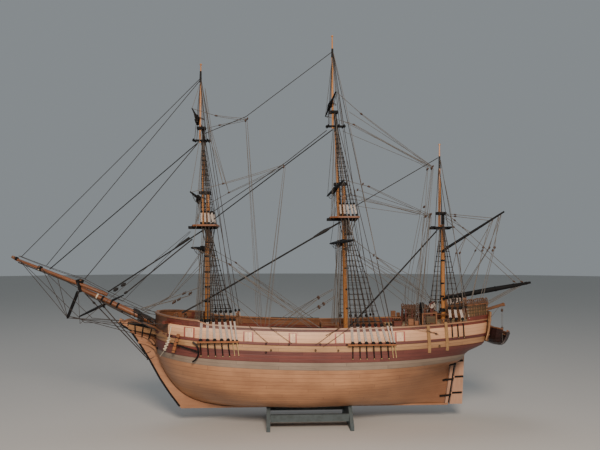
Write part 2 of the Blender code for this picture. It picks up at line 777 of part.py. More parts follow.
def make_mast(mast, plan):
    lower = plan["lower"]
    foot = deck_top(lower[0]) + GAP + 0.4
    low = mast_spar(mast + "_lower_mast", lower, foot, "spar_wood")
    cap_z = lower[3] - 0.6
    make_cap(mast + "_lower_cap", lower, plan["topmast"], cap_z, low)
    truck = "topgallant" not in plan
    upper = mast_spar(mast + "_topmast", plan["topmast"], plan["topmast"][1], "spar_wood", truck)
    make_top(mast, plan, TOP_HALF_WIDTH if mast != "mizzen" else 13.0, mast != "mizzen")
    if "topgallant" in plan:
        make_crosstrees(mast, plan)
        make_cap(mast + "_topmast_cap", plan["topmast"], plan["topgallant"], plan["topmast"][3] - 0.6, upper)
        mast_spar(mast + "_topgallant_mast", plan["topgallant"], plan["topgallant"][1], "spar_wood", True)


def make_yards():
    for mast, name, z, half, radius in YARDS:
        plan = MASTS[mast]
        spar = plan["lower"] if name == "course" else plan["topmast" if name == "topsail" else "topgallant"]
        x = spar_x(spar, z) - spar[4] - radius - GAP
        tip = radius * YARD_TIP
        profile = ((0.0, tip), (0.16, radius * 0.75), (0.38, radius),
                   (0.62, radius), (0.84, radius * 0.75), (1.0, tip))
        turned("%s_%s_yard" % (mast, name), (x, -half, z), (x, half, z), profile, "black_wood", 10)


# Bowsprit

def bowsprit_z(x):
    (x0, z0), (x1, z1) = BOWSPRIT_HEEL, BOWSPRIT_CAP
    return z0 + (z1 - z0) * (x - x0) / (x1 - x0)


def jib_z(x):
    (x0, z0), (x1, z1) = JIB_HEEL, JIB_TIP
    return z0 + (z1 - z0) * (x - x0) / (x1 - x0)


def make_bowsprit():
    heel, cap = BOWSPRIT_HEEL, BOWSPRIT_CAP
    spar = turned("bowsprit", (heel[0], 0, heel[1]), (cap[0], 0, cap[1]),
                  ((0.0, 4.3), (0.5, 3.9), (1.0, 2.7)), "spar_wood", 14)
    x = cap[0] + 2.2
    block = beam("bowsprit_cap", (x + 1.6, 0, bowsprit_z(x) - 4.4),
                 (x - 3.6, 0, jib_z(x - 3.6) + 4.4), 6.4, 3.4, "black_wood")
    hole = turned("bowsprit_cap_hole", (x + 12, 0, jib_z(x + 12)), (x - 14, 0, jib_z(x - 14)),
                  ((0.0, 2.95), (1.0, 2.95)), "black_wood", 16)
    combine(spar, [block])
    combine(spar, [hole], "DIFFERENCE")
    turned("jibboom", (JIB_HEEL[0], 0, JIB_HEEL[1]), (JIB_TIP[0], 0, JIB_TIP[1]),
           ((0.0, 2.6), (0.35, 2.6), (0.95, 1.8), (0.955, 2.2), (0.975, 2.2), (0.98, 1.6), (1.0, 1.4)),
           "jibboom_wood")
    head, foot = (cap[0] - 0.5, 0, bowsprit_z(cap[0]) - 4.8), (STRIKER_FOOT[0], 0, STRIKER_FOOT[1])
    turned("dolphin_striker", head, foot, ((0.0, 1.9), (0.06, 2.2), (0.9, 2.0), (1.0, 1.2)), "black_wood", 10)
    z = bowsprit_z(SPRITSAIL_X) - 4.2 - 2.2
    tilt = SPRITSAIL_TILT
    profile = ((0.0, 0.9), (0.2, 1.5), (0.4, 1.9), (0.6, 1.9), (0.8, 1.5), (1.0, 0.9))
    turned("spritsail_yard", (SPRITSAIL_X, -SPRITSAIL_HALF, z - tilt),
           (SPRITSAIL_X, SPRITSAIL_HALF, z + tilt), profile, "black_wood", 10)


# Boom and gaff, with jaws round the mizzen mast

def make_swinging_spar(name, ends, joint_z):
    (x0, z0), (x1, z1), foot_r, head_r = ends
    spar = turned(name, (x0, 0, z0), (x1, 0, z1),
                  ((0.0, foot_r), (0.5, foot_r * 0.95), (1.0, head_r)), "black_wood", 10)
    slope = (z1 - z0) / (x1 - x0)
    jaws = []
    for word, side in (("port", -1), ("starboard", 1)):
        y = side * 5.4
        jaws.append(beam("%s_jaw_%s" % (name, word), (x0 + 2.0, side * 2.2, z0 + slope * 2.0),
                         (x0 - JAW_REACH - 1.0, y, z0 - slope * (JAW_REACH + 1.0)), 1.8, 3.0, "black_wood"))
    combine(spar, jaws)
    mast = MASTS["mizzen"]["lower"]
    foot_z = deck_top(mast[0]) + GAP + 0.4
    share = (joint_z - foot_z) / (mast[3] - foot_z)
    x = spar_x(mast, foot_z)
    return hang_on_joint(spar, (x + (mast[2] - x) * share, 0.0, joint_z))


# Channels with their lower deadeyes and chainplates

def make_channel(mast, row, word, side):
    z = row["z"]
    low_x, high_x = row["x"]
    name = "%s_channel_%s" % (mast, word)
    steps = 6
    inner = []
    for k in range(steps + 1):
        x = low_x + (high_x - low_x) * k / steps
        inner.append((x, side * (hull_half(x, z) + GAP)))
    edge = max(hull_half(x, z) for x in (low_x, (low_x + high_x) / 2, high_x)) + row["reach"]
    outer = [(high_x - 1.0, side * edge), (low_x + 1.0, side * edge)]
    underside = z - CHANNEL_THICK / 2
    channel = as_mesh(flat_curve(name, inner + outer, CHANNEL_THICK, "light_wood", "xy", underside))
    pieces = []
    places = [(x, DEADEYE_R) for x in row["deadeyes"]] + [(x, DEADEYE_R * 0.6) for x in row["backstays"]]
    for k, (x, radius) in enumerate(places):
        y = edge - DEADEYE_THICK / 2 - 0.2
        pieces.append(disc("%s_deadeye_%d" % (name, k), (x, side * y, z + radius - 0.4), (0, 1, 0),
                           radius, DEADEYE_THICK, "black_wood", 10))
        foot_z = row["foot_z"] + rise(x) * 0.3
        foot_x = x + 0.045 * (x - low_x)
        foot = max(hull_half(foot_x, foot_z), hull_half(foot_x, foot_z + 4.0)) + 1.1
        pieces.append(beam("%s_chain_%d" % (name, k), (x, side * (edge - 0.9), z - 0.7),
                           (foot_x, side * foot, foot_z), 1.3, 0.9, "blackened_brass"))
    return combine(channel, pieces)


def make_channels():
    for mast, row in CHANNELS.items():
        for word, side in (("port", -1), ("starboard", 1)):
            make_channel(mast, row, word, side)


# Stern: transom board, davits and the boat they carry

DAVIT_Y = 34.0
DAVIT_LINE = ((268.0, 157.2), (285.0, 157.2), (303.5, 162.8))
DAVIT_THICK = 3.6
FALL_X = 302.5
FALL_END_Z = 112.2
BOAT = {"middle": (302.5, 126.2), "half_length": 42.0, "half_width": 15.5, "deep": 18.8,
        "tilt": 18.0, "wall": 1.0}


def make_transom():
    """The stern's board, closed by the bulwarks and raked like them."""
    z_low, z_top = 115.5, 154.1
    bm = bmesh.new()
    bmesh.ops.create_grid(bm, x_segments=12, y_segments=6, size=0.5)
    for vert in bm.verts:
        z = z_low + (z_top - z_low) * (vert.co.y + 0.5)
        y = 2 * vert.co.x * (hull_half(271.5, min(z, 150.0)) + 1.2)
        crown = 2.0 * (1 - (2 * vert.co.x) ** 2) * (vert.co.y + 0.5) ** 3
        x = table_value(ENDS, END_COLUMNS, "stern_x", z)
        vert.co = point(x + 0.4, y, z + crown)
    extruded = bmesh.ops.extrude_face_region(bm, geom=bm.faces[:])
    for item in extruded["geom"]:
        if isinstance(item, bmesh.types.BMVert):
            item.co.x += TRANSOM_THICK * MM
    bmesh.ops.recalc_face_normals(bm, faces=bm.faces)
    return from_bmesh("transom", bm, "light_wood")


def boat_section(share):
    """Half width and keel rise of the boat at a share of its half length."""
    along_it = abs(share)
    width = (1 - along_it ** 2.6) ** 0.7
    return width, 5.0 * along_it ** 3, 3.0 * along_it ** 2


def boat_surface(half_length, half_width, deep, inset):
    steps, arc = 14, 8
    bm = bmesh.new()
    bmesh.ops.create_grid(bm, x_segments=steps, y_segments=arc, size=0.5)
    for vert in bm.verts:
        share = 2 * vert.co.x * 0.96
        angle = math.pi * vert.co.y
        width, keel_rise, sheer = boat_section(share)
        y = half_length * 2 * vert.co.x
        x = (half_width - inset) * width * math.copysign(abs(math.sin(angle)) ** 0.75, angle)
        depth = deep - inset - keel_rise + sheer
        z = sheer - depth * abs(math.cos(angle)) ** 0.8
        vert.co = point(x, y, z)
    return bm


def make_boat():
    bm = boat_surface(BOAT["half_length"], BOAT["half_width"], BOAT["deep"], 0.0)
    bmesh.ops.recalc_face_normals(bm, faces=bm.faces)
    boat = from_bmesh("stern_boat", bm, "boat_wood")
    shell = boat.modifiers.new("planks", "SOLIDIFY")
    shell.thickness = BOAT["wall"] * 1.4 * MM
    shell.offset = -1.0
    x, z = BOAT["middle"]
    boat.location = point(x, 0.0, z)
    boat.rotation_euler = (0.0, math.radians(BOAT["tilt"]), 0.0)
    return boat


def make_davits():
    for word, side in (("port", -1), ("starboard", 1)):
        y = side * DAVIT_Y
        (x0, z0), (x1, z1), (x2, z2) = DAVIT_LINE
        half = DAVIT_THICK / 2
        outline = ((x0, z0 - half), (x1, z1 - half), (x2, z2 - half),
                   (x2, z2 + half), (x1, z1 + half), (x0, z0 + half))
        davit = as_mesh(flat_curve("davit_" + word, outline, DAVIT_THICK, "rail_wood", "xz", y))
        fall = as_mesh(tube("davit_fall_" + word, ((FALL_X, y, 162.0), (FALL_X, y, FALL_END_Z)),
                            0.9, "black_rope"))
        block = disc("davit_block_" + word, (FALL_X, y, 152.0), (0, 1, 0), 2.4, 2.4, "rail_wood")
        combine(davit, [fall, block])


# Deck pieces

def make_deck_pieces():
    deck_block("quarterdeck", QUARTERDECK_X, "deck_wood")
    deck_block("forecastle", FORECASTLE_X, "deck_wood")
    z = deck_z(0.0) + GAP
    box("main_hatch", (18.0, -13.0, z), (48.0, 13.0, z + 5.0), "rail_wood")


def make_steering():
    x = 252.0
    base = deck_top(x) + GAP
    stand = box("wheel_stand", (x - 3.0, -3.2, base), (x + 3.0, 3.2, base + 13.0), "rail_wood")
    hub_z = base + 11.0
    axle = turned("wheel_axle", (x - 2.0, 0, hub_z), (x - 6.0, 0, hub_z),
                  ((0.0, 0.9), (1.0, 0.9)), "blackened_brass")
    combine(stand, [axle])
    wheel_x = x - 8.1
    ring_points = 20
    hub = disc("steering_wheel", (wheel_x, 0, hub_z), (1, 0, 0), 1.8, 3.2, "rail_wood")
    turns = [2 * math.pi * k / ring_points for k in range(ring_points)]
    curve = [(wheel_x, 6.0 * math.cos(turn), hub_z + 6.0 * math.sin(turn)) for turn in turns]
    ring = tube("wheel_rim", curve, 0.8, "rail_wood")
    ring.data.splines[0].use_cyclic_u = True
    ring = as_mesh(ring)
    spokes = []
    for k in range(4):
        angle = math.pi * k / 4
        dy, dz = 8.6 * math.cos(angle), 8.6 * math.sin(angle)
        spokes.append(turned("wheel_spoke_%d" % k, (wheel_x, -dy, hub_z - dz), (wheel_x, dy, hub_z + dz),
                             ((0.0, 0.55), (1.0, 0.55)), "rail_wood", 6))
    combine(hub, [ring] + spokes)
    hang_on_joint(hub, (wheel_x, 0.0, hub_z))


def make_cathead(word, side):
    """A short timber that stands out from the bow's side, angled forward."""
    x = -141.0
    z = sheer_z(x) + 1.5
    root = hull_half(x, z) - 1.2
    slope = (hull_half(x + 1, z) - hull_half(x - 1, z)) / 2
    return beam("cathead_" + word, (x, side * root, z), (x - 7.0 * slope, side * (root + 15.5), z + 1.2),
                3.6, 3.6, "rail_wood")


def make_anchor(word, side):
    """Stowed along the side: crown aft, stock forward."""
    y_fore = hull_half(-130.0, 116.0) + 4.0
    y_aft = hull_half(-100.0, 108.0) + 4.0
    start = (-137.4, side * y_fore, 118.0)
    crown = (-101.2, side * y_aft, 108.0)
    name = "anchor_" + word
    shank = turned(name, start, crown, ((0.0, 1.0), (1.0, 1.3)), "black_wood", 8)
    arms = []
    for k in range(9):
        angle = math.radians(-62 + 124 * k / 8)
        reach = 15.0
        centre_x = crown[0] - reach * 0.95
        inward = side * 0.09 * reach * (1 - math.cos(angle))
        arms.append((centre_x + reach * math.cos(angle), crown[1] - inward,
                     crown[2] + reach * math.sin(angle) * 0.95))
    arc = as_mesh(tube(name + "_arms", arms, 1.1, "black_wood"))
    out = side * (y_fore + 0.6)
    stock = turned(name + "_stock", (-127.5, out, 128.5), (-133.5, out, 106.5),
                   ((0.0, 1.2), (0.5, 1.9), (1.0, 1.2)), "rail_wood", 8)
    return combine(shank, [arc, stock])


# Cradle

def section_z(x, y):
    """Height at which the hull is y wide on each side, low down."""
    low, high = FLOOR_Z, 95.0
    for _ in range(40):
        middle = (low + high) / 2
        low, high = (middle, high) if hull_half(x, middle) < y else (low, middle)
    return high


def make_cradle():
    half = CRADLE["board_thick"] / 2
    slot = KEEL_THICK / 2 + GAP
    for word, x in zip(("fore", "aft"), CRADLE["board_x"]):
        top = []
        for y in (slot + 1.0, 8.0, 13.0, 17.0, CRADLE["top_half"]):
            top.append((y, min(section_z(x - half, y), section_z(x + half, y)) - 0.4))
        side = [(slot, KEEL_BOTTOM_Z - GAP), (slot, top[0][1])] + top
        side += [(CRADLE["top_half"] + 1.2, top[-1][1] - 1.0),
                 (CRADLE["foot_half"], CRADLE["foot_high"]), (CRADLE["foot_half"], 0.0)]
        outline = side + [(-y, z) for y, z in reversed(side)]
        flat_curve("cradle_board_" + word, outline, CRADLE["board_thick"], "cradle_paint", "yz", x)
    low, high = (CRADLE["board_x"][0] + half + GAP, CRADLE["board_x"][1] - half - GAP)
    for word, side in (("port", -1), ("starboard", 1)):
        y = side * CRADLE["bar_y"]
        t = CRADLE["bar_thick"] / 2
        box("cradle_bar_" + word, (low, y - t, CRADLE["bar_z"][0]),
            (high, y + t, CRADLE["bar_z"][1]), "cradle_paint")


# Main stays, one taut line each: start, end, radius
STAY_COLUMNS = ("name", "start", "end", "radius")
STAYS = (
    ("fore_stay", (-101.7, 0.0, 265.0), (-231.3, 0.0, 179.5), 1.0),
    ("main_stay", (87.6, 0.0, 276.0), (-92.4, 0.0, 171.4), 1.3),
    ("fore_topmast_stay", (-110.65, 0.0, 386.3), (-310.0, 0.0, 210.5), 0.7),
    ("main_topmast_stay", (76.5, 0.0, 406.0), (-92.8, 0.0, 276.0), 0.8),
    ("mizzen_stay", (224.9, 0.0, 265.1), (102.5, 0.0, 133.0), 0.8),
)


def make_stays():
    for name, start, end, radius in STAYS:
        tube(name, (start, end), radius, "black_rope")


def main():
    clear_scene()
    make_hull()
    make_backbone()
    make_sides()
    make_deck_pieces()
    make_transom()
    make_davits()
    make_boat()
    make_bowsprit()
    for mast, plan in MASTS.items():
        make_mast(mast, plan)
    make_yards()
    make_swinging_spar("gaff", GAFF, 238.4)
    make_swinging_spar("boom", BOOM, 170.0)
    make_channels()
    make_steering()
    for word, side in (("port", -1), ("starboard", 1)):
        make_anchor(word, side)
    make_stays()
    make_cradle()


main()
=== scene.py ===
# A bark-rigged wooden ship model on a small cradle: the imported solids, planked, finished and rigged.
# Sizes are in millimetres unless a note says otherwise. +X is towards the stern, -Y is port, +Z is up.

import math
import random

import bmesh
import bpy
from mathutils import Matrix, Vector


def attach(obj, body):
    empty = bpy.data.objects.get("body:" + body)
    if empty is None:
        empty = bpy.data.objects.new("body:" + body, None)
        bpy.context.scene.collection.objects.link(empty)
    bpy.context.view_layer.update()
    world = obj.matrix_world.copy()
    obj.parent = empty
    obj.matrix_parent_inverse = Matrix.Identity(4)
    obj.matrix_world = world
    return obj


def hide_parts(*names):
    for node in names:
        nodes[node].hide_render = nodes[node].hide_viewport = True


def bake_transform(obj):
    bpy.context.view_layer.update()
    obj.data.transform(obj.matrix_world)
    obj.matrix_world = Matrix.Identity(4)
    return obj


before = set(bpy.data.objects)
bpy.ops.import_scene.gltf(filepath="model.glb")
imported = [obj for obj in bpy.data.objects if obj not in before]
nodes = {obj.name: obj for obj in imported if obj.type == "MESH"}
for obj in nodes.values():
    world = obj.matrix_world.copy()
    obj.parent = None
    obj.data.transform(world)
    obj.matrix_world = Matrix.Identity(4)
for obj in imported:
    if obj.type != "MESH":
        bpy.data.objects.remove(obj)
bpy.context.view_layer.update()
mm = 0.001
shake = random.Random(7)     # small differences between repeated things, the same each run


def at(x, y, z):
    return Vector((x, y, z)) * mm


# View: eye level with the tops, a little to port of the waist
view = {"place": (-13.74, -834.5, 232.43), "pitch": 92.67, "turn": -3.05, "lens": 36}


def setCamera():
    data = bpy.data.cameras.new("viewCamera")
    data.lens = view["lens"]
    data.sensor_width = 36
    data.clip_start = 0.01
    camera = bpy.data.objects.new("viewCamera", data)
    bpy.context.scene.collection.objects.link(camera)
    camera.location = at(*view["place"])
    camera.rotation_euler = (math.radians(view["pitch"]), 0, math.radians(view["turn"]))
    bpy.context.scene.camera = camera


setCamera()
print("camera set")


# Finishes

def srgb(colour):
    channels = []
    for start in (0, 2, 4):
        value = int(colour[start:start + 2], 16) / 255
        channels.append(value / 12.92 if value <= 0.04045 else ((value + 0.055) / 1.055) ** 2.4)
    return (*channels, 1)


def addNode(finish, kind, inputs=None, output=0, **settings):
    node = finish.node_tree.nodes.new("ShaderNode" + kind)
    for name, value in settings.items():
        setattr(node, name, value)
    for socket, value in (inputs or {}).items():
        if isinstance(value, bpy.types.NodeSocket):
            finish.node_tree.links.new(value, node.inputs[socket])
        else:
            node.inputs[socket].default_value = value
    return node.outputs[output]


def newFinish(name):
    finish = bpy.data.materials.new(name)
    finish.use_nodes = True
    return finish, finish.node_tree.nodes["Principled BSDF"]


def plug(finish, socket, target):
    finish.node_tree.links.new(socket, target)


# Real wood: pores and streaks run along the grain, boards differ a little, and the joins between them
# read as fine dark lines. "along" and "across" are the axes of the grain and of the boards' widths, on
# the piece's own UV map where "uv" is set. Without a board's width it is one solid timber.
# The bow and stern tones darken a wood towards the stem and the run: painted shade where the side turns from
# the light
woodBase = {"along": 0, "across": 2, "uv": False, "board": None, "rough": 0.5, "bowShadeReach": (-166, -132)}
woods = {
    # steamed pear, waxed: even and pinkish, a soft sheen, joins that hardly show
    "steamedPearPlanks": {"pale": "BC8B65", "deep": "A27454", "seam": "6B432D", "across": 1, "uv": True,
                          "board": 4.6, "length": 140, "join": 0.4, "differ": 0.06, "rough": 0.46,
                          "bowShade": 0.6, "sternShade": 0.62},
    "pearTimber": {"pale": "B28260", "deep": "926547", "seam": "66422E", "rough": 0.45},
    "pearRudder": {"pale": "BF967C", "deep": "A27B62", "seam": "785541", "along": 2, "rough": 0.45},
    # lime, oiled: plain and pale, from cream to tan and dusty grey, with narrow strips that can be told apart
    "limeTanPlanks": {"pale": "BE946A", "deep": "9E7650", "seam": "6A4C3B", "across": 1, "uv": True,
                      "board": 4, "length": 120, "join": 0.5, "differ": 0.14,
                      "bowShade": 0.8, "sternShade": 0.42},
    "limeCreamPlanks": {"pale": "DFB48F", "deep": "CB9A76", "seam": "9A7256", "across": 1, "uv": True,
                        "board": 4.6, "length": 105, "join": 0.4, "differ": 0.12, "rough": 0.42,
                        "bowShade": 0.6, "sternShade": 0.48},
    "greyGreenStripe": {"pale": "958372", "deep": "7C6D5F", "seam": "574A40", "across": 1, "uv": True,
                        "board": 5, "length": 140, "join": 0.45, "differ": 0.12, "rough": 0.52,
                        "bowShade": 0.6, "sternShade": 0.2},
    # lids paler and pinker than the gun band: partly their own wood, partly a painted highlight of the glint
    # they catch
    "limePortLids": {"pale": "F0CDB2", "deep": "E2BC9E", "seam": "A88468", "along": 1, "across": 0,
                     "uv": True, "board": 2, "length": 60, "join": 0.35, "differ": 0.08,
                     "rough": 0.22},
    "limeRail": {"pale": "A67A5A", "deep": "825B40", "seam": "543826", "rough": 0.44,
                 "bowShadeReach": (-150, -96), "bowShade": 0.5, "sternShade": 0.15},
    "limeTanTimber": {"pale": "A47D58", "deep": "78573A", "seam": "4E3820"},
    "limeFenders": {"pale": "A88458", "deep": "886642", "seam": "604630", "along": 2, "rough": 0.46},
    # mahogany, varnished: deep red-brown, streaky, boards from dark to darker
    "mahoganyWale": {"pale": "764038", "deep": "5C2D27", "seam": "3E1D1B", "across": 1, "uv": True,
                     "board": 4.4, "length": 130, "join": 0.45, "differ": 0.18, "rough": 0.44,
                     "bowShade": 0.6, "sternShade": 0.45},
    "mahoganyPlanks": {"pale": "74382A", "deep": "53241B", "seam": "2C110E",
                       "board": 4, "length": 90, "join": 0.5, "differ": 0.18, "rough": 0.48},
    # dark planking at the bow: painted shade where the bow turns away from the light
    "shadedBowPlanks": {"pale": "6A4630", "deep": "452B1D", "seam": "23150E", "across": 1, "uv": True,
                    "board": 4.6, "length": 90, "join": 0.5, "differ": 0.18},
    "mahoganySpar": {"pale": "86522E", "deep": "5A341C", "seam": "341C0F", "rough": 0.38},
    "mahoganyFrames": {"pale": "B4655A", "deep": "8C4238", "seam": "5A2620", "along": 2, "rough": 0.36},
    # turned dowel under yellow varnish: bright streaks up the mast, a clear shine
    "varnishedSpar": {"pale": "BF8449", "deep": "935D2B", "seam": "55331A", "along": 2, "rough": 0.36},
    # walnut and cherry: brown to orange-brown, dull where they are handled
    "walnutFittings": {"pale": "7D512E", "deep": "59371E", "seam": "301D10",
                       "board": 4.5, "length": 60, "join": 0.5, "differ": 0.2},
    "cherryTops": {"pale": "A5683A", "deep": "7C4A28", "seam": "4C2C1A", "across": 1,
                   "board": 3.2, "length": 60, "join": 0.45, "differ": 0.16, "rough": 0.46},
    "cherryLining": {"pale": "8A5C40", "deep": "643F29", "seam": "3A2316", "across": 1, "uv": True,
                     "board": 3, "length": 90, "join": 0.4, "differ": 0.14},
    "cherryRails": {"pale": "8E6142", "deep": "684229", "seam": "3E2617", "rough": 0.42},
    # maple deck, scraped and left matt: pale boards between dark caulking
    "mapleDeck": {"pale": "C9AB7D", "deep": "B08F62", "seam": "4A3828", "across": 1,
                  "board": 4.2, "length": 75, "join": 0.5, "differ": 0.14, "rough": 0.58},
    # stained lattice and a stained boat: nearly all the grain is lost in the dark
    "oliveRailing": {"pale": "54401F", "deep": "3A2B17", "seam": "20160C",
                     "board": 3.4, "length": 50, "join": 0.5, "differ": 0.24, "rough": 0.55},
    "boatPlanks": {"pale": "2E1917", "deep": "20110F", "seam": "140A09", "along": 1,
                   "board": 3, "length": 60, "join": 0.4, "differ": 0.18},
}
# Streaks 0.8 mm apart and 22 times as long (real pores are finer, but this is what still shows), broad
# figure about 14 mm across and 90 mm long, and patches from handling some 30 mm wide: all per millimetre
woodGrain = {"streaks": 1.25, "drawnOut": 22, "figure": 0.07, "figureAlong": 0.011, "patches": 0.03,
             # from x 245 forward to 120 the sides are darkened as painted shade under the run
             "joinDark": 0.62, "buttStep": 0.382, "sternShadeReach": (245, 120), "bump": 0.35,
             "bumpDepth": 0.0003, "coat": 0.12, "coatRough": 0.3, "ior": 1.5}


def addBoards(finish, recipe, millimetres, colour, height):
    parts = addNode(finish, "SeparateXYZ", {0: millimetres}).node.outputs
    across, along = parts[recipe["across"]], parts[recipe["along"]]
    row = addNode(finish, "Math", {0: across, 1: recipe["board"]}, operation="DIVIDE")
    board = addNode(finish, "Math", {0: row}, operation="FLOOR")
    step = recipe["length"] * woodGrain["buttStep"]
    shifted = addNode(finish, "Math", {0: board, 1: step, 2: along}, operation="MULTIPLY_ADD")
    place = addNode(finish, "Math", {0: shifted, 1: recipe["length"]}, operation="DIVIDE")
    butt = addNode(finish, "Math", {0: place}, operation="FLOOR")
    pair = addNode(finish, "CombineXYZ", {0: board, 1: butt})
    chance = addNode(finish, "TexWhiteNoise", {"Vector": pair}, noise_dimensions="2D")
    spread = {0: chance, 1: 2 * recipe["differ"], 2: 1 - recipe["differ"]}
    bright = addNode(finish, "Math", spread, operation="MULTIPLY_ADD")
    grey = addNode(finish, "CombineColor", {0: bright, 1: bright, 2: bright})
    colour = addNode(finish, "Mix", {0: 1, 6: colour, 7: grey}, 2, data_type="RGBA", blend_type="MULTIPLY")
    side = addNode(finish, "Math", {0: across, 1: recipe["board"] / 2}, operation="PINGPONG")
    end = addNode(finish, "Math", {0: shifted, 1: recipe["length"] / 2}, operation="PINGPONG")
    nearest = addNode(finish, "Math", {0: side, 1: end}, operation="MINIMUM")
    join = addNode(finish, "MapRange", {0: nearest, 1: 0, 2: recipe["join"], 3: 1, 4: 0},
                   interpolation_type="SMOOTHSTEP")
    dark = addNode(finish, "Math", {0: join, 1: woodGrain["joinDark"]}, operation="MULTIPLY")
    colour = addNode(finish, "Mix", {0: dark, 6: colour, 7: srgb(recipe["seam"])}, 2, data_type="RGBA")
    sunk = addNode(finish, "Math", {0: join, 1: 0.8}, operation="MULTIPLY")
    return colour, addNode(finish, "Math", {0: height, 1: sunk}, operation="SUBTRACT")


def makeWood(name):
    recipe = {**woodBase, **woods[name]}
    finish, shader = newFinish(name)
    seam = srgb(recipe["seam"])
    coordinates = addNode(finish, "TexCoord", None, "UV" if recipe["uv"] else "Object")
    millimetres = addNode(finish, "Mapping", {"Vector": coordinates, "Scale": (1000, 1000, 1000)})
    stretch = [woodGrain["streaks"]] * 3
    stretch[recipe["along"]] /= woodGrain["drawnOut"]
    streaked = addNode(finish, "Mapping", {"Vector": millimetres, "Scale": stretch})
    pores = {"Vector": streaked, "Scale": 1, "Detail": 4, "Roughness": 0.62}
    grain = addNode(finish, "TexNoise", pores, "Fac")
    broad = [woodGrain["figure"]] * 3
    broad[recipe["along"]] = woodGrain["figureAlong"]
    drawn = addNode(finish, "Mapping", {"Vector": millimetres, "Scale": broad})
    figure = addNode(finish, "TexNoise", {"Vector": drawn, "Scale": 1, "Detail": 2}, "Fac")
    fine = addNode(finish, "Math", {0: grain, 1: 0.62}, operation="MULTIPLY")
    coarse = addNode(finish, "Math", {0: figure, 1: 0.55}, operation="MULTIPLY")
    tone = addNode(finish, "Math", {0: fine, 1: coarse}, operation="ADD")
    share = addNode(finish, "MapRange", {0: tone, 1: 0.40, 2: 0.76})
    ends = {0: share, 6: srgb(recipe["deep"]), 7: srgb(recipe["pale"])}
    colour = addNode(finish, "Mix", ends, 2, data_type="RGBA")
    height = addNode(finish, "Math", {0: grain, 1: 0.25}, operation="MULTIPLY")
    if recipe["board"]:
        colour, height = addBoards(finish, recipe, millimetres, colour, height)
    spread = addNode(finish, "Mapping", {"Vector": millimetres, "Scale": [woodGrain["patches"]] * 3})
    patch = addNode(finish, "TexNoise", {"Vector": spread, "Scale": 1, "Detail": 3}, "Fac")
    dull = addNode(finish, "MapRange", {0: patch, 1: 0.42, 2: 0.70, 3: 0, 4: 0.32})
    colour = addNode(finish, "Mix", {0: dull, 6: colour, 7: seam}, 2, data_type="RGBA")
    if "bowShade" in recipe:
        # painted shade: darker towards the stem and the run, where the side turns away from the light
        reach = addNode(finish, "SeparateXYZ", {0: millimetres})
        for (low, high), depth in ((recipe["bowShadeReach"], "bowShade"), (woodGrain["sternShadeReach"], "sternShade")):
            paintedShade = addNode(finish, "MapRange", {0: reach, 1: low, 2: high, 3: recipe[depth], 4: 0},
                            interpolation_type="SMOOTHSTEP")
            colour = addNode(finish, "Mix", {0: paintedShade, 6: colour, 7: seam}, 2, data_type="RGBA")
    plug(finish, colour, shader.inputs["Base Color"])
    rough = recipe["rough"]
    gloss = addNode(finish, "MapRange", {0: grain, 1: 0.3, 2: 0.7, 3: rough - 0.07, 4: rough + 0.08})
    plug(finish, gloss, shader.inputs["Roughness"])
    raised = {"Height": height, "Strength": woodGrain["bump"], "Distance": woodGrain["bumpDepth"]}
    plug(finish, addNode(finish, "Bump", raised), shader.inputs["Normal"])
    shader.inputs["IOR"].default_value = woodGrain["ior"]
    shader.inputs["Coat Weight"].default_value = woodGrain["coat"]
    shader.inputs["Coat Roughness"].default_value = woodGrain["coatRough"]
    return finish


# Paint, stain and metal: a base colour with brushed or rubbed variation. "grit" is the pattern in mm,
# "stretch" how far it is drawn out along the yards.
coatBase = {"stretch": 1, "metal": 0, "shine": 0.5, "bump": 0.2}
coats = {
    # black spirit stain on wood: nearly matt, faintly streaked
    "blackStainedWood": {"base": "0D0D0F", "worn": "181616", "grit": 2.2, "stretch": 6, "rough": 0.72,
                         "bump": 0.25, "shine": 0.22},
    # brass, chemically blackened: dark, with brown rubbed spots and a metal's glint
    "blackenedBrass": {"base": "1A181B", "worn": "3A322C", "grit": 1.6, "rough": 0.42, "metal": 0.75},
    # brushed paint on the stand: grey-blue, dull and slightly uneven
    "greyCradlePaint": {"base": "4A5558", "worn": "3C4546", "grit": 5, "rough": 0.62, "bump": 0.3},
    # boxwood blocks, oiled dark
    "boxwoodBlocks": {"base": "33241A", "worn": "5E3C25", "grit": 1.5, "rough": 0.5},
    # cotton whipping: chalky, soft, no shine
    "creamLashing": {"base": "D8CDB8", "worn": "A99C86", "grit": 0.8, "rough": 0.85, "bump": 0.6},
    # brass pins, polished pale or gone brown
    "paleBrass": {"base": "D6C08C", "worn": "B89A62", "grit": 1.2, "rough": 0.3, "metal": 0.35, "bump": 0.1},
    "oldBrass": {"base": "A9834A", "worn": "6E5230", "grit": 1.8, "rough": 0.35, "metal": 0.9, "bump": 0.1},
    # clear sheet over a dark cabin, its dark colour painted shade of the cabin behind: smooth, deep and
    # reflecting
    "darkPanes": {"base": "1B2226", "worn": "252C2E", "grit": 6, "rough": 0.14, "bump": 0.03},
}


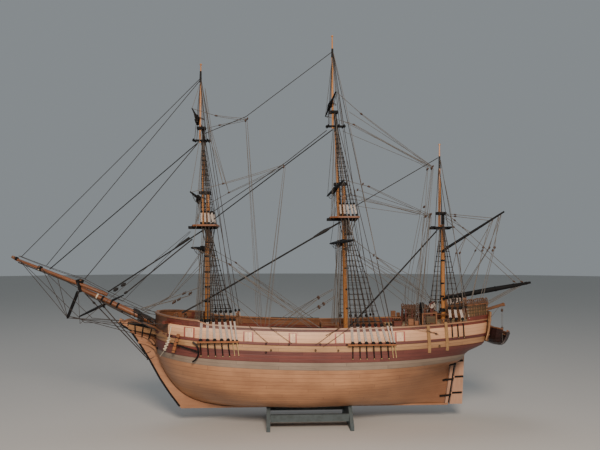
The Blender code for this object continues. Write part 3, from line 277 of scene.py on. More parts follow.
def makeCoat(name):
    recipe = {**coatBase, **coats[name]}
    finish, shader = newFinish(name)
    size = 1000 / recipe["grit"]
    spread = {"Vector": addNode(finish, "TexCoord", None, "Object"),
              "Scale": (size, size / recipe["stretch"], size)}
    grit = {"Vector": addNode(finish, "Mapping", spread), "Scale": 1, "Detail": 4, "Roughness": 0.6}
    mottle = addNode(finish, "TexNoise", grit, "Fac")
    share = addNode(finish, "MapRange", {0: mottle, 1: 0.42, 2: 0.72})
    ends = {0: share, 6: srgb(recipe["base"]), 7: srgb(recipe["worn"])}
    plug(finish, addNode(finish, "Mix", ends, 2, data_type="RGBA"), shader.inputs["Base Color"])
    rough = recipe["rough"]
    gloss = addNode(finish, "MapRange", {0: mottle, 1: 0.3, 2: 0.7, 3: rough - 0.08, 4: rough + 0.1})
    plug(finish, gloss, shader.inputs["Roughness"])
    shader.inputs["Metallic"].default_value = recipe["metal"]
    shader.inputs["Specular IOR Level"].default_value = recipe["shine"]
    bump = addNode(finish, "Bump", {"Height": mottle, "Strength": recipe["bump"], "Distance": 0.0003})
    plug(finish, bump, shader.inputs["Normal"])
    return finish


# Laid line, twisted cotton and linen: strands wind round it, so their edges run slantwise, and the grooves
# between them are painted darker as shade; loose fibres blur its outline. U is metres along, V once round.
lines = {
    "tarredStay": {"strand": "2A2524", "grooveShade": "0E0C0C", "lay": 3.4, "fuzz": 0.06, "rough": 0.8},
    "darkBrownShroud": {"strand": "3A312C", "grooveShade": "1B1614", "lay": 2, "fuzz": 0.08, "rough": 0.85},
    "greyBeigeRunning": {"strand": "6A645E", "grooveShade": "37332F", "lay": 1.8, "fuzz": 0.12, "rough": 0.9},
    "brownLine": {"strand": "5E4230", "grooveShade": "2C1D14", "lay": 1.6, "fuzz": 0.1, "rough": 0.88},
    "paleLanyard": {"strand": "C3B8B0", "grooveShade": "85796F", "lay": 1.8, "fuzz": 0.1, "rough": 0.88},
}


def makeLine(name):
    recipe = lines[name]
    finish, shader = newFinish(name)
    parts = addNode(finish, "SeparateXYZ", {0: addNode(finish, "TexCoord", None, "UV")}).node.outputs
    wrapped = addNode(finish, "Math", {0: parts[1], 1: 3}, operation="MULTIPLY")
    wound = {0: parts[0], 1: 1000 / recipe["lay"], 2: wrapped}
    turns = addNode(finish, "Math", wound, operation="MULTIPLY_ADD")
    strand = addNode(finish, "Math", {0: turns, 1: 0.5}, operation="PINGPONG")
    share = addNode(finish, "MapRange", {0: strand, 1: 0.02, 2: 0.24}, interpolation_type="SMOOTHSTEP")
    ends = {0: share, 6: srgb(recipe["grooveShade"]), 7: srgb(recipe["strand"])}
    plug(finish, addNode(finish, "Mix", ends, 2, data_type="RGBA"), shader.inputs["Base Color"])
    bump = addNode(finish, "Bump", {"Height": share, "Strength": 0.6, "Distance": 0.0002})
    plug(finish, bump, shader.inputs["Normal"])
    shader.inputs["Roughness"].default_value = recipe["rough"]
    shader.inputs["Sheen Weight"].default_value = recipe["fuzz"]
    return finish


finishes = {name: makeWood(name) for name in woods}
finishes.update({name: makeCoat(name) for name in coats})
finishes.update({name: makeLine(name) for name in lines})
print("finishes made:", len(finishes))


# Finish of every carried-over solid: by its own name, else by the first word that is in it
nodeFinishes = {
    "hull": "mapleDeck", "keel": "pearTimber", "stem": "pearTimber", "sternpost": "pearRudder",
    "rudder": "pearRudder", "quarterdeck": "mapleDeck", "forecastle": "mapleDeck",
    "main_hatch": "walnutFittings", "transom": "walnutFittings", "bowsprit": "mahoganySpar",
    "jibboom": "mahoganySpar", "wheel_stand": "walnutFittings", "steering_wheel": "walnutFittings",
    "stern_boat": "boatPlanks",
}
nodeFamilies = (
    ("bulwark_", "mahoganyPlanks"), ("cap_rail_", "limeRail"), ("davit_", "walnutFittings"),
    ("cradle_", "greyCradlePaint"), ("channel_", "limeRail"), ("_yard", "blackStainedWood"),
    ("_stay", "tarredStay"), ("anchor_", "blackenedBrass"), ("mast", "varnishedSpar"),
)


def finishNodes():
    for name, obj in nodes.items():
        family = next((finish for word, finish in nodeFamilies if word in name), "blackStainedWood")
        for slot in obj.material_slots:
            slot.material = finishes[nodeFinishes.get(name, family)]


finishNodes()
print("solids finished:", len(nodes))


# Building blocks for the new pieces

def newPiece(name, bm, finish, body="ship", smooth=35):
    mesh = bpy.data.meshes.new(name)
    bm.to_mesh(mesh)
    bm.free()
    if smooth:
        mesh.shade_smooth()
        mesh.set_sharp_from_angle(angle=math.radians(smooth))
    piece = bpy.data.objects.new(name, mesh)
    bpy.context.scene.collection.objects.link(piece)
    mesh.materials.append(finishes[finish])
    if body:
        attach(piece, body)
    return piece


def ropePiece(name, bm, finish, body="ship"):
    closeLines(bm)
    return newPiece(name, bm, finish, body, smooth=60)


def meshes(count):
    return [bmesh.new() for _ in range(count)]


def mirrorToStarboard(bm):
    bmesh.ops.mirror(bm, geom=bm.verts[:] + bm.edges[:] + bm.faces[:], matrix=Matrix.Identity(4),
                     merge_dist=0.00002, axis="Y")
    bmesh.ops.remove_doubles(bm, verts=bm.verts, dist=0.000001)
    bmesh.ops.recalc_face_normals(bm, faces=bm.faces)


def upright(direction):
    return direction.to_track_quat("Z", "Y").to_matrix().to_4x4()


def halfway(a, b):
    return Matrix.Translation((a + b) / 2) @ upright(b - a)


def between(a, b, share):
    return tuple(a[k] + (b[k] - a[k]) * share for k in range(3))


def sided(points, side):
    return [(x, side * y, z) for x, y, z in points]


def addBar(bm, start, end, wide, deep, bevel=0):
    # a square timber between two places
    a, b = at(*start), at(*end)
    size = Matrix.Diagonal((wide * mm, deep * mm, (b - a).length, 1))
    made = bmesh.ops.create_cube(bm, size=1, matrix=halfway(a, b) @ size)
    if bevel:
        edges = list({edge for vert in made["verts"] for edge in vert.link_edges})
        bmesh.ops.bevel(bm, geom=edges, offset=bevel * mm, affect="EDGES", segments=1, profile=0.5,
                        material=-1)


def addRod(bm, start, end, firstRadius, lastRadius=None, sides=8):
    a, b = at(*start), at(*end)
    last = firstRadius if lastRadius is None else lastRadius
    bmesh.ops.create_cone(bm, cap_ends=True, cap_tris=False, segments=sides, radius1=firstRadius * mm,
                          radius2=last * mm, depth=(b - a).length, matrix=halfway(a, b))


def addBlock(bm, centre, along, size):
    # a rope block: a small flattened egg, longest along its line
    shape = Matrix.Diagonal((size * 0.55 * mm, size * 0.38 * mm, size * 0.7 * mm, 1))
    bmesh.ops.create_icosphere(bm, subdivisions=1, radius=1,
                               matrix=Matrix.Translation(at(*centre)) @ upright(Vector(along)) @ shape)


def sagging(start, end, sag, count=7):
    points = []
    for k in range(count):
        t = k / (count - 1)
        x, y, z = between(start, end, t)
        points.append((x, y, z - 4 * sag * t * (1 - t)))
    return points


def addLine(bm, points, radius, sides=5):
    # a round line through points: a grid wrapped round them, with its length in U
    places = [at(*p) for p in points]
    steps = len(places) - 1
    uvLayer = bm.loops.layers.uv.verify()
    made = bmesh.ops.create_grid(bm, x_segments=max(steps, 1), y_segments=sides, size=0.5, calc_uvs=True)
    lengths = [0]
    for a, b in zip(places, places[1:]):
        lengths.append(lengths[-1] + (b - a).length)
    frames = []
    for k, spot in enumerate(places):
        ahead = places[min(k + 1, steps)] - places[max(k - 1, 0)]
        frames.append(Matrix.Translation(spot) @ upright(ahead))
    for face in {face for vert in made["verts"] for face in vert.link_faces}:
        for loop in face.loops:
            u, v = loop.vert.co.x + 0.5, loop.vert.co.y + 0.5
            loop[uvLayer].uv = (lengths[round(u * steps)], v)
    for vert in made["verts"]:
        k = round((vert.co.x + 0.5) * steps)
        angle = 2 * math.pi * (vert.co.y + 0.5)
        vert.co = frames[k] @ Vector((radius * mm * math.cos(angle), radius * mm * math.sin(angle), 0))


def closeLines(bm):
    bmesh.ops.remove_doubles(bm, verts=bm.verts, dist=0.0000005)
    bmesh.ops.holes_fill(bm, edges=[edge for edge in bm.edges if edge.is_boundary], sides=12)
    bmesh.ops.recalc_face_normals(bm, faces=bm.faces)


# Hull form, the same lines as the solid's
hullForm = {
    "ends": (   # height, stem, stern, half breadth at the stern
        (23, -62, 231, 0), (26, -82, 231.8, 0), (32, -108, 232.8, 0),
        (42, -128, 234.5, 0), (60, -145.5, 237.5, 0), (80, -157, 241, 0),
        (84, -158.8, 246.6, 14), (92, -161.6, 248.4, 31), (100, -163.6, 249.6, 39),
        (115, -165, 274, 42.5), (170, -166, 282.3, 41.5)),
    "fullness": (   # level, entrance length and powers, run length and powers
        (24, 130, 1.6, 0.95, 205, 1.45, 0.75), (45, 122, 1.8, 1.20, 185, 1.80, 0.85),
        (60, 110, 1.95, 1.45, 168, 2.10, 0.98), (80, 98, 2.05, 1.75, 150, 2.50, 1.40),
        (100, 92, 2.15, 2.00, 140, 2.30, 1.60), (120, 86, 2.25, 2.15, 150, 2.10, 1.70),
        (170, 82, 2.30, 2.20, 160, 2.00, 1.70)),
    "floorZ": 24.5, "widestZ": 100, "halfBeam": 65, "power": 2.6,
    "sheerZ": 130.6, "sheerX": 75, "sheerCurve": 0.00024, "deckBelow": 16,
    "levelBase": 50, "tumblehome": 0.0034,
}


def tableValue(rows, column, height):
    if height <= rows[0][0]:
        return rows[0][column]
    if height >= rows[-1][0]:
        return rows[-1][column]
    i = max(k for k in range(len(rows) - 1) if rows[k][0] <= height)
    x0, y0, x1, y1 = rows[i][0], rows[i][column], rows[i + 1][0], rows[i + 1][column]
    slope = (y1 - y0) / (x1 - x0)
    before = (y0 - rows[i - 1][column]) / (x0 - rows[i - 1][0]) if i > 0 else slope
    after = (rows[i + 2][column] - y1) / (rows[i + 2][0] - x1) if i + 2 < len(rows) else slope
    start = 0 if before * slope <= 0 else 2 * before * slope / (before + slope)
    end = 0 if slope * after <= 0 else 2 * slope * after / (slope + after)
    t, width = (height - x0) / (x1 - x0), x1 - x0
    return (y0 * (1 + 2 * t) * (1 - t) ** 2 + width * start * t * (1 - t) ** 2
            + y1 * t * t * (3 - 2 * t) + width * end * t * t * (t - 1))


def rise(x):
    return hullForm["sheerCurve"] * (x - hullForm["sheerX"]) ** 2


def sheer(x):
    return hullForm["sheerZ"] + rise(x)


def stemX(z):
    return tableValue(hullForm["ends"], 1, z)


def sternX(z):
    return tableValue(hullForm["ends"], 2, z)


def hullHalf(x, z):
    base = hullForm["levelBase"]
    span = hullForm["sheerZ"] - hullForm["deckBelow"] - base
    level = z
    if z > base:
        level = (z + base * rise(x) / span) / (1 + rise(x) / span)
        if level > base + span:
            level = z - rise(x)
    if level >= hullForm["widestZ"]:
        full = hullForm["halfBeam"] - hullForm["tumblehome"] * (level - hullForm["widestZ"]) ** 2
    else:
        drop = min((hullForm["widestZ"] - level) / (hullForm["widestZ"] - hullForm["floorZ"]), 1)
        full = hullForm["halfBeam"] * (1 - drop ** hullForm["power"]) ** (1 / hullForm["power"])
    shape = [tableValue(hullForm["fullness"], column, level) for column in range(1, 7)]
    forward = min(max((x - stemX(z)) / shape[0], 0), 1)
    aft = min(max((sternX(z) - x) / shape[3], 0), 1)
    entrance = (1 - (1 - forward) ** shape[1]) ** (1 / shape[2])
    run = (1 - (1 - aft) ** shape[4]) ** (1 / shape[5])
    end = min(tableValue(hullForm["ends"], 3, z), full)
    return (end + (full - end) * run) * entrance


def onSide(u, heightOf, foreClear, aftClear):
    # a place on the side at a share of the length, at the height heightOf(x)
    x = 50
    for _ in range(6):
        z = heightOf(x)
        fore, aft = stemX(z) + foreClear, sternX(z) - aftClear
        # stations are closest at the stem and close at the stern
        x = fore + (aft - fore) * (2.55 * u * u - 1.55 * u ** 3)
    z = heightOf(x)
    return x, hullHalf(x, z), z


def sideShell(bm, lowOf, highOf, rows, columns, proud, thick, span, bend=None, clear=(0, 0),
              strake=4.6, strakes=None):
    # planking between two heights on the port side, its outer face "proud" of the hull
    uvLayer = bm.loops.layers.uv.verify()
    made = bmesh.ops.create_grid(bm, x_segments=columns, y_segments=rows, size=0.5, calc_uvs=True)
    faces = list({face for vert in made["verts"] for face in vert.link_faces})
    count = strakes if strakes else (highOf(75) - lowOf(75)) / strake
    spots = {}
    for vert in made["verts"]:
        u = span[0] + (span[1] - span[0]) * (vert.co.x + 0.5)
        t = vert.co.y + 0.5
        share = bend(t) if bend else t
        place = onSide(u, lambda x: lowOf(x) + (highOf(x) - lowOf(x)) * share, *clear)
        spots[vert] = (*place, t * count * strake)
    for face in faces:
        for loop in face.loops:
            x, _, _, across = spots[loop.vert]
            loop[uvLayer].uv = (x * mm, across * mm)
    for vert, (x, y, z, _) in spots.items():
        vert.co = at(x, -y, z)
    bmesh.ops.recalc_face_normals(bm, faces=faces)
    if sum(face.normal.y * face.calc_area() for face in faces) > 0:
        bmesh.ops.reverse_faces(bm, faces=faces)
    bm.normal_update()
    normals = {vert: vert.normal.copy() for vert in spots}
    for vert, normal in normals.items():
        vert.co += normal * proud * mm
        vert.co.y = min(vert.co.y, 0)
    # the copies are the outside; the first ones become the inside
    bmesh.ops.extrude_face_region(bm, geom=faces)
    for vert, normal in normals.items():
        if vert.is_valid:
            vert.co -= normal * thick * mm
            vert.co.y = min(vert.co.y, 0)


# Planking and bands of the side: heights are above the sheer line, shares are of the length
side = {
    "stripeLow": (-48, -45.5), "waleLow": -38, "tanLow": -24.8, "mouldLow": -17, "gunLow": -13.8,
    "columns": 110, "bandFrom": 0.012, "gunFrom": 0.151, "liningIn": -2.25,
}


def stripeLow(x):
    ends = min(abs(x - 75) / 230, 1) ** 2
    return sheer(x) + side["stripeLow"][0] + (side["stripeLow"][1] - side["stripeLow"][0]) * ends


def girthShare(t):
    # rows spread evenly round the midship section
    top = hullForm["sheerZ"] + side["stripeLow"][0]
    drop = math.cos(math.radians(81.5 * t)) ** (2 / hullForm["power"])
    z = hullForm["widestZ"] - (hullForm["widestZ"] - hullForm["floorZ"]) * drop
    return min((z - hullForm["floorZ"]) / (top - hullForm["floorZ"]), 1)


def above(height):
    return lambda x: sheer(x) + height


def plankHull():
    wale, tan, mould, gun = (side[name] for name in ("waleLow", "tanLow", "mouldLow", "gunLow"))
    bm = bmesh.new()
    sideShell(bm, lambda x: hullForm["floorZ"], lambda x: stripeLow(x) + 0.6, 34, 120, 0.5, 0.8, (0, 1),
              girthShare, strakes=21)
    mirrorToStarboard(bm)
    newPiece("lowerPlanking", bm, "steamedPearPlanks")
    for name, low, high, proud, finish, slotName, strake in (
            ("greenStripe", stripeLow, above(wale + 0.4), 0.7, "greyGreenStripe", "light_wood", 5),
            ("wale", above(wale), above(tan), 1.2, "mahoganyWale", "dark_red_wood", 4.4),
            ("tanBand", above(tan), above(mould + 0.4), 0.45, "limeTanPlanks", "light_wood", 4),
            ("sheerMoulding", above(mould), above(gun), 1.5, "mahoganyWale", "dark_red_wood", 3.2),
            ("gunBand", above(gun), above(0), 0.4, "limeCreamPlanks", "light_wood", 4.6)):
        bm = bmesh.new()
        clear = (0, 1.2 if low(272) < 128 else 1.8)
        start = side["gunFrom"] if name == "gunBand" else side["bandFrom"]
        sideShell(bm, low, high, 4, side["columns"], proud, proud + 0.3, (start, 1), None, clear, strake)
        mirrorToStarboard(bm)
        newPiece(name, bm, finish)
    # dark bands at the bow, forward of the gun band and on the forecastle bulwark: painted shade where the
    # bow turns from the light
    for name, low, high, rows, proud, thick, aft in (
            ("bowBand", gun, 0.3, 4, 0.35, 0.7, 0.002), ("bowBulwarkPlanks", 0.3, 6.9, 3, 0.3, 0.6, -0.008)):
        bm = bmesh.new()
        reach = (side["bandFrom"], side["gunFrom"] + aft)
        sideShell(bm, above(low), above(high), rows, 24, proud, thick, reach)
        mirrorToStarboard(bm)
        newPiece(name, bm, "shadedBowPlanks")
    bm = bmesh.new()
    for low, high, columns, span in ((-2.9, 6.9, 24, (0.03, 0.2)), (-4.5, 2.9, 40, (0.21, 0.7))):
        sideShell(bm, above(low), above(high), 3, columns, side["liningIn"], 0.6, span)
    mirrorToStarboard(bm)
    newPiece("bulwarkLining", bm, "cherryLining")


plankHull()
print("hull planked")


# Standing rigging. Masts as the solids have them: axis points, where shrouds meet them, and their feet
masts = {
    "fore": {"low": (-96.7, 130), "head": (-97.3, 318), "shroudZ": 273.5, "topZ": 268.9, "topHalf": 16.6,
             "feet": (-98, -89.2, -80.4, -71.6, -63.5), "eyeZ": 122.5, "upperZ": 146.5,
             "backFeet": (-57.5, -52.5), "topFeet": (-104, -98.8, -93.6, -88.2), "topEyeZ": (273, 288.5),
             "topHead": (-104.2, 386.5), "crossX": (-114.5, -100), "crossZ": 389,
             "gallant": (-108.4, 473), "ratTop": 256, "backTo": ((-104.4, 401), (-108.4, 474.5)),
             "channel": ((-102.5, -50), 120.6, 7), "chainZ": 101},
    "main": {"low": (96.8, 125), "head": (91.6, 331), "shroudZ": 285.5, "topZ": 280.7, "topHalf": 16.6,
             "feet": (94.5, 103.5, 112, 121, 130, 139), "eyeZ": 117.1, "upperZ": 139.3,
             "backFeet": (144.5, 148.3), "topFeet": (86, 91.5, 97, 102.5, 107.5),
             "topEyeZ": (284.8, 300.5), "topHead": (81.3, 408.5), "crossX": (71.5, 88.5), "crossZ": 411,
             "gallant": (76.6, 513), "ratTop": 268, "backTo": ((80.8, 425), (76.6, 515.5)),
             "channel": ((88, 150.5), 115.2, 6), "chainZ": 97.5},
    "mizzen": {"low": (230.4, 146), "head": (233, 290.5), "shroudZ": 272, "topZ": 269,
               "topHalf": 12, "feet": (226, 234, 242), "eyeZ": 146, "upperZ": 159.5,
               "backFeet": (251,),
               "topFeet": (), "topEyeZ": (270, 270), "topHead": (227.8, 352), "rimX": (225, 236),
               "ratTop": 258, "backTo": ((229, 364),), "channel": None},
}


def mastX(mast, z):
    (x0, z0), (x1, z1) = mast["low"], mast["head"]
    return x0 + (x1 - x0) * (z - z0) / (z1 - z0)


def atHeight(a, b, z):
    return between(a, b, (z - a[2]) / (b[2] - a[2]))


def raised(spot, lift):
    return spot[0], spot[1], spot[2] + lift


def eyeY(mast):
    if mast["channel"] is None:
        return hullHalf(234, 150) - 0.6
    (low, high), z, reach = mast["channel"]
    return max(hullHalf(x, z) for x in (low, (low + high) / 2, high)) + reach - 1.3


def shroudLines(mast, side):
    # (lower deadeye, masthead) of each lower shroud on one side
    y = eyeY(mast) * side
    headX = mastX(mast, mast["shroudZ"])
    return [((x, y, mast["eyeZ"]), (headX - 1.5 + k * 0.7, side * 3.4, mast["shroudZ"] + k * 0.4))
            for k, x in enumerate(mast["feet"])]


def topShroudLines(mast, side):
    headX, headZ = mast["topHead"]
    return [((x, side * mast["topHalf"], mast["topEyeZ"][0]), (headX - 0.9 + k * 0.5, side * 1.9, headZ))
            for k, x in enumerate(mast["topFeet"])]


def addDeadeye(bm, centre, radius, thick):
    flat = Matrix.Translation(at(*centre)) @ Matrix.Rotation(math.pi / 2, 4, "X")
    made = bmesh.ops.create_cone(bm, cap_ends=True, segments=12, radius1=radius * mm, radius2=radius * mm,
                                 depth=thick * mm, matrix=flat)
    rims = list({edge for vert in made["verts"] for edge in vert.link_edges if len(edge.link_faces) == 2
                 and any(len(face.verts) > 4 for face in edge.link_faces)})
    bmesh.ops.bevel(bm, geom=rims, offset=thick * 0.25 * mm, affect="EDGES", segments=2, profile=0.5,
                    material=-1)


def addLanyard(bm, low, high, wide, radius):
    for shift in (-wide, 0, wide):
        addLine(bm, [(low[0] + shift, low[1], low[2]), (high[0] + shift, high[1], high[2])], radius)


def addRatlines(lineMesh, knotMesh, pairs, low, high, step, radius):
    z = low
    while z < high:
        points = [atHeight(a, b, z - 0.15) for a, b in pairs]
        dips = []
        for a, b in zip(points, points[1:]):
            x, y, _ = between(a, b, 0.5)
            dips += [a, (x, y, z - 0.35)]
        addLine(lineMesh, dips + [points[-1]], radius, 4)
        for spot in points:
            bmesh.ops.create_cube(knotMesh, size=1.25 * mm,
                                  matrix=Matrix.Translation(at(*spot)) @ Matrix.Rotation(0.6, 4, "Z"))
        z += step


def addMizzenChain(eyes, low, side):
    # without a channel the chain lies flat on the side, below a small deadeye on the rail
    x, y, z = low
    addDeadeye(eyes, low, 2, 2.2)
    bent = side * (hullHalf(x, 128) + 1.2)
    addRod(eyes, (x, y + side * 0.6, z), (x + 0.3, bent, 126), 0.7)
    addRod(eyes, (x + 0.3, bent, 126.5), (x + 0.5, side * (hullHalf(x, 122) + 1.4), 121.5), 0.9)


def rigLowerMast(mast, side, shrouds, lanyards, eyes, ratlines, knots):
    pairs = shroudLines(mast, side)
    upperZ = mast["upperZ"]
    for low, high in pairs:
        upper = atHeight(low, high, upperZ)
        addLine(shrouds, [upper, high], 0.62)
        # the shroud's own end, turned up beside it
        ownEnd = [(upper[0] + 1, upper[1], upper[2] + 3), atHeight(low, high, upperZ + 13)]
        addLine(shrouds, ownEnd, 0.55)
        addLanyard(lanyards, raised(low, 1), raised(upper, -1), 1.15, 0.5)
        addDeadeye(eyes, upper, 2.4, 2.4)
        if mast["channel"] is None:
            addMizzenChain(eyes, low, side)
    ends = [atHeight(*pair, upperZ + 4.2) for pair in (pairs[0], pairs[-1])]
    addRod(eyes, between(*ends, -0.05), between(*ends, 1.05), 0.6)
    addRatlines(ratlines, knots, pairs, upperZ + 10.5, mast["ratTop"] - 6, 7.2, 0.3)
    # futtock shrouds, from the top's rim in to the lower shrouds
    futtockZ = mast["topZ"] - 22
    for k, x in enumerate(mast["topFeet"]):
        shroud = pairs[min(k, len(pairs) - 1)]
        rim = (x, side * mast["topHalf"], mast["topZ"] + 1)
        addLine(shrouds, [rim, atHeight(*shroud, futtockZ)], 0.6)
    if mast["topFeet"]:
        addRod(eyes, atHeight(*pairs[0], futtockZ), atHeight(*pairs[-1], futtockZ), 0.8)


def rigUpperMast(mast, side, shrouds, lanyards, eyes, ratlines, knots):
    pairs = topShroudLines(mast, side)
    upperZ = mast["topEyeZ"][1]
    headX, headZ = mast["topHead"]
    for low, high in pairs:
        upper = atHeight(low, high, upperZ)
        addLine(shrouds, [upper, high], 0.5)
        addLanyard(lanyards, raised(low, 0.6), raised(upper, -0.6), 0.8, 0.4)
        addDeadeye(eyes, upper, 1.7, 1.8)
        addDeadeye(eyes, low, 1.6, 1.8)
    if pairs:
        addRatlines(ratlines, knots, pairs, upperZ + 6, headZ - 8, 6.6, 0.26)
        gallantX, gallantZ = mast["gallant"]
        for x in mast["crossX"]:
            addLine(shrouds, [(x, side * 11.6, mast["crossZ"]), (gallantX, side * 0.8, gallantZ)], 0.42)
    for x in mast.get("rimX", ()):
        addLine(shrouds, [(x, side * mast["topHalf"], mast["topZ"] + 0.8), (headX, side * 1.1, headZ)], 0.45)
    # backstays, with pale lanyards at their feet
    for x, (toX, toZ) in zip(mast["backFeet"], mast["backTo"]):
        low, high = (x, eyeY(mast) * side, mast["eyeZ"]), (toX + 0.8, side * 1.6, toZ)
        upper = atHeight(low, high, mast["upperZ"] + 1)
        addLine(shrouds, [upper, high], 0.45)
        addLanyard(lanyards, low, upper, 0.7, 0.42)
        addBlock(eyes, upper, (0, 0, 1), 3.6)


def rigMast(name, mast):
    shrouds, lanyards, eyes, ratlines, knots = meshes(5)
    for side in (-1, 1):
        rigLowerMast(mast, side, shrouds, lanyards, eyes, ratlines, knots)
        rigUpperMast(mast, side, shrouds, lanyards, eyes, ratlines, knots)
    ropePiece(name + "Shrouds", shrouds, "darkBrownShroud")
    ropePiece(name + "Lanyards", lanyards, "paleLanyard")
    ropePiece(name + "Ratlines", ratlines, "darkBrownShroud")
    newPiece(name + "Deadeyes", eyes, "blackStainedWood")
    newPiece(name + "RatlineKnots", knots, "tarredStay", smooth=0)


for mastName, mastRow in masts.items():
    rigMast(mastName, mastRow)
print("shrouds rigged")


# Stays in the middle plane: thickness, then (x, z) of each leg's two ends
stays = {
    "foreTopmastPreventer": (0.6, (((-112, 384.2), (-262.5, 197.5)),)),
    "forePreventerStay": (0.9, (((-118, 251.5), (-209, 176.6)),)),
    "mainTopgallantStay": (0.55, (((75.2, 516.4), (-45, 423)), ((-45, 423), (-102, 398.5)))),
    "mainTopmastPreventer": (0.55, (((68.5, 405), (11.5, 359.5)), ((11.5, 359.5), (-90, 289.5)))),
    "mizzenTopmastStay": (0.6, (((227, 367.5), (94.5, 290)),)),
    "mizzenStayLeg": (0.55, (((223.6, 262.8), (112, 141.5)),)),
}
# Stays that part to both sides: thickness, then the port run's points and the starboard run's
partedStays = {
    "foreTopgallantStays": (0.5, ((-109.8, 0, 475), (-347.2, 2.3, 227)),
                            ((-109.8, 0, 472.5), (-315.1, 2.3, 215.5))),
    "mainStayLegs": (1.1, *[((-91, 0.8, 172.6), (-96.5, 6.2, 169.5), (-104, 5.2, 165),
                             (-131, 2.6, 150.5))] * 2),
}
# Swellings where a stay's eye stops: (x, z, radius) along the stay
mouses = (
    ((74, 268.2, 1.2), (66, 263.6, 2.5), (60, 260.2, 2.3), (50, 254.4, 1.35)),
    ((-122, 254, 1.2), (-130, 247.3, 2), (-141, 239.6, 1.1)))
hearts = (   # x, z, size
    (-221, 182.6, 6.4), (-211, 189.2, 6.4), (-207.5, 178.4, 5), (-128, 152.4, 5))
seizings = (   # the rigging's eyes round the upper mastheads: x, from, to, radius
    (-108.4, 470.5, 487, 1.7), (76.6, 509, 522, 1.8), (228.9, 352, 370, 1.6),
    (-104.3, 382, 388.5, 3), (81.2, 403.5, 411, 3.1))


def rigStays():
    for name, (radius, legs) in stays.items():
        bm = bmesh.new()
        for (x0, z0), (x1, z1) in legs:
            addLine(bm, sagging((x0, 0, z0), (x1, 0, z1), 0, 3), radius)
        ropePiece(name, bm, "tarredStay")
    for name, (radius, *runs) in partedStays.items():
        bm = bmesh.new()
        for side, run in zip((-1, 1), runs):
            addLine(bm, sided(run, side), radius)
        ropePiece(name, bm, "tarredStay")
    bm = bmesh.new()
    for rows in mouses:
        for (x0, z0, r0), (x1, z1, r1) in zip(rows, rows[1:]):
            addRod(bm, (x0, 0, z0), (x1, 0, z1), r0, r1, 10)
    for x, z, size in hearts:
        addBlock(bm, (x, 0, z), (1, 0, 0.68), size)
    for x, z0, z1, radius in seizings:
        for k in range(int((z1 - z0) / 1.6)):
            z = z0 + k * 1.6
            thin = 0.02 * k
            addRod(bm, (x, 0, z), (x, 0, z + 1.5), radius * (1 - thin), radius * (0.96 - thin), 10)
    newPiece("serviceAndHearts", bm, "tarredStay")


rigStays()
print("stays rigged")


# Yards as the solids have them: middle x, height, half length. Where each one's lifts, braces and falls
# lead: (x, y, z) on the port side
yards = {
    "foreCourse": {"at": (-102.5, 238.5), "half": 124, "lift": (-104.5, 2.6, 315),
                   "brace": ((-62, 72, 218), (44, 57, 134.5))},
    "foreTopsail": {"at": (-108.5, 307), "half": 98, "lift": (-106.4, 2, 405),
                    "brace": ((-72, 58, 322), (8, 1.6, 354.5)), "fall": (-18, 57, 134)},
    "foreTopgallant": {"at": (-111.7, 418), "half": 66, "lift": (-108.6, 1.1, 470),
                       "brace": ((-84, 30, 417), (-45.5, 1.6, 419)), "fall": (-27, 57, 134.2)},
    "mainCourse": {"at": (87.3, 247.5), "half": 134, "lift": (86, 2.6, 328),
                   "brace": ((126, 72, 226), (222.5, 19, 161))},
    "mainTopsail": {"at": (79.6, 322), "half": 105, "lift": (79.4, 2, 430),
                    "brace": ((117, 62, 319), (214, 2, 285.5)), "fall": (197, 12, 155.5)},
    "mainTopgallant": {"at": (73.3, 441), "half": 72, "lift": (76.5, 1.1, 508),
                       "brace": ((112, 34, 421), (217.5, 1.6, 354)), "fall": (192, 12, 155.5)},
}
yardRig = {"liftThick": 0.34, "pendant": 0.38, "brace": 0.33, "fall": 0.27, "gap": 1.3,
           "slung": ((0.05, 4.6), (0.11, 4), (0.19, 3.4))}   # blocks: share of the half length, drop


def rigYardSide(yard, side, running, blocks, slings, dark):
    (x, z), half = yard["at"], yard["half"]
    tip = (x, side * (half - 3), z + 1)
    liftTo, hang, to = sided((yard["lift"], *yard["brace"]), side)
    addLine(running, [tip, liftTo], yardRig["liftThick"])
    addLine(running, [(x + 1, tip[1], z), hang], yardRig["pendant"])
    addBlock(blocks, hang, Vector(to) - Vector(hang), 3.5)
    for gap in (-yardRig["gap"], yardRig["gap"]):
        addLine(running, sagging(raised(hang, gap * 0.5), raised(to, gap), 0.6, 5), yardRig["brace"])
    if "fall" in yard:
        down = sided([yard["fall"]], side)[0]
        addBlock(blocks, raised(to, -1.5), (0.2, 0, 1), 3.6)
        addLine(running, sagging(raised(to, -3), down, 0, 3), yardRig["fall"])
        second = (to[0] + 2.2, to[1], to[2] - 2), (down[0] + 5, down[1], down[2])
        addLine(running, sagging(*second, 0, 3), yardRig["fall"])
    # footrope, on short stirrups
    foot = sagging((x + 1, side * 3, z - 1.5), (x + 1, side * (half - 6), z - 1), 7, 9)
    addLine(slings, foot, 0.36)
    for spot in foot[2:-1:2]:
        addLine(slings, [spot, (spot[0], spot[1], z - 0.5)], 0.25, 4)
    # blocks under the yard near the mast, and stowed turns of line round it
    for share, drop in yardRig["slung"]:
        addBlock(dark, (x - 1.5, side * half * share, z - drop), (0, 0, 1), 3.6)
        addBlock(dark, (x + 0.5, side * half * share * 1.3, z + 2.6), (1, 0, 0), 3)
    for k in range(6):
        y = side * (3 + 2.6 * k)
        addRod(dark, (x, y, z), (x, y + side * 1.6, z), 3.3 - 0.14 * k, 3.2 - 0.14 * k, 10)


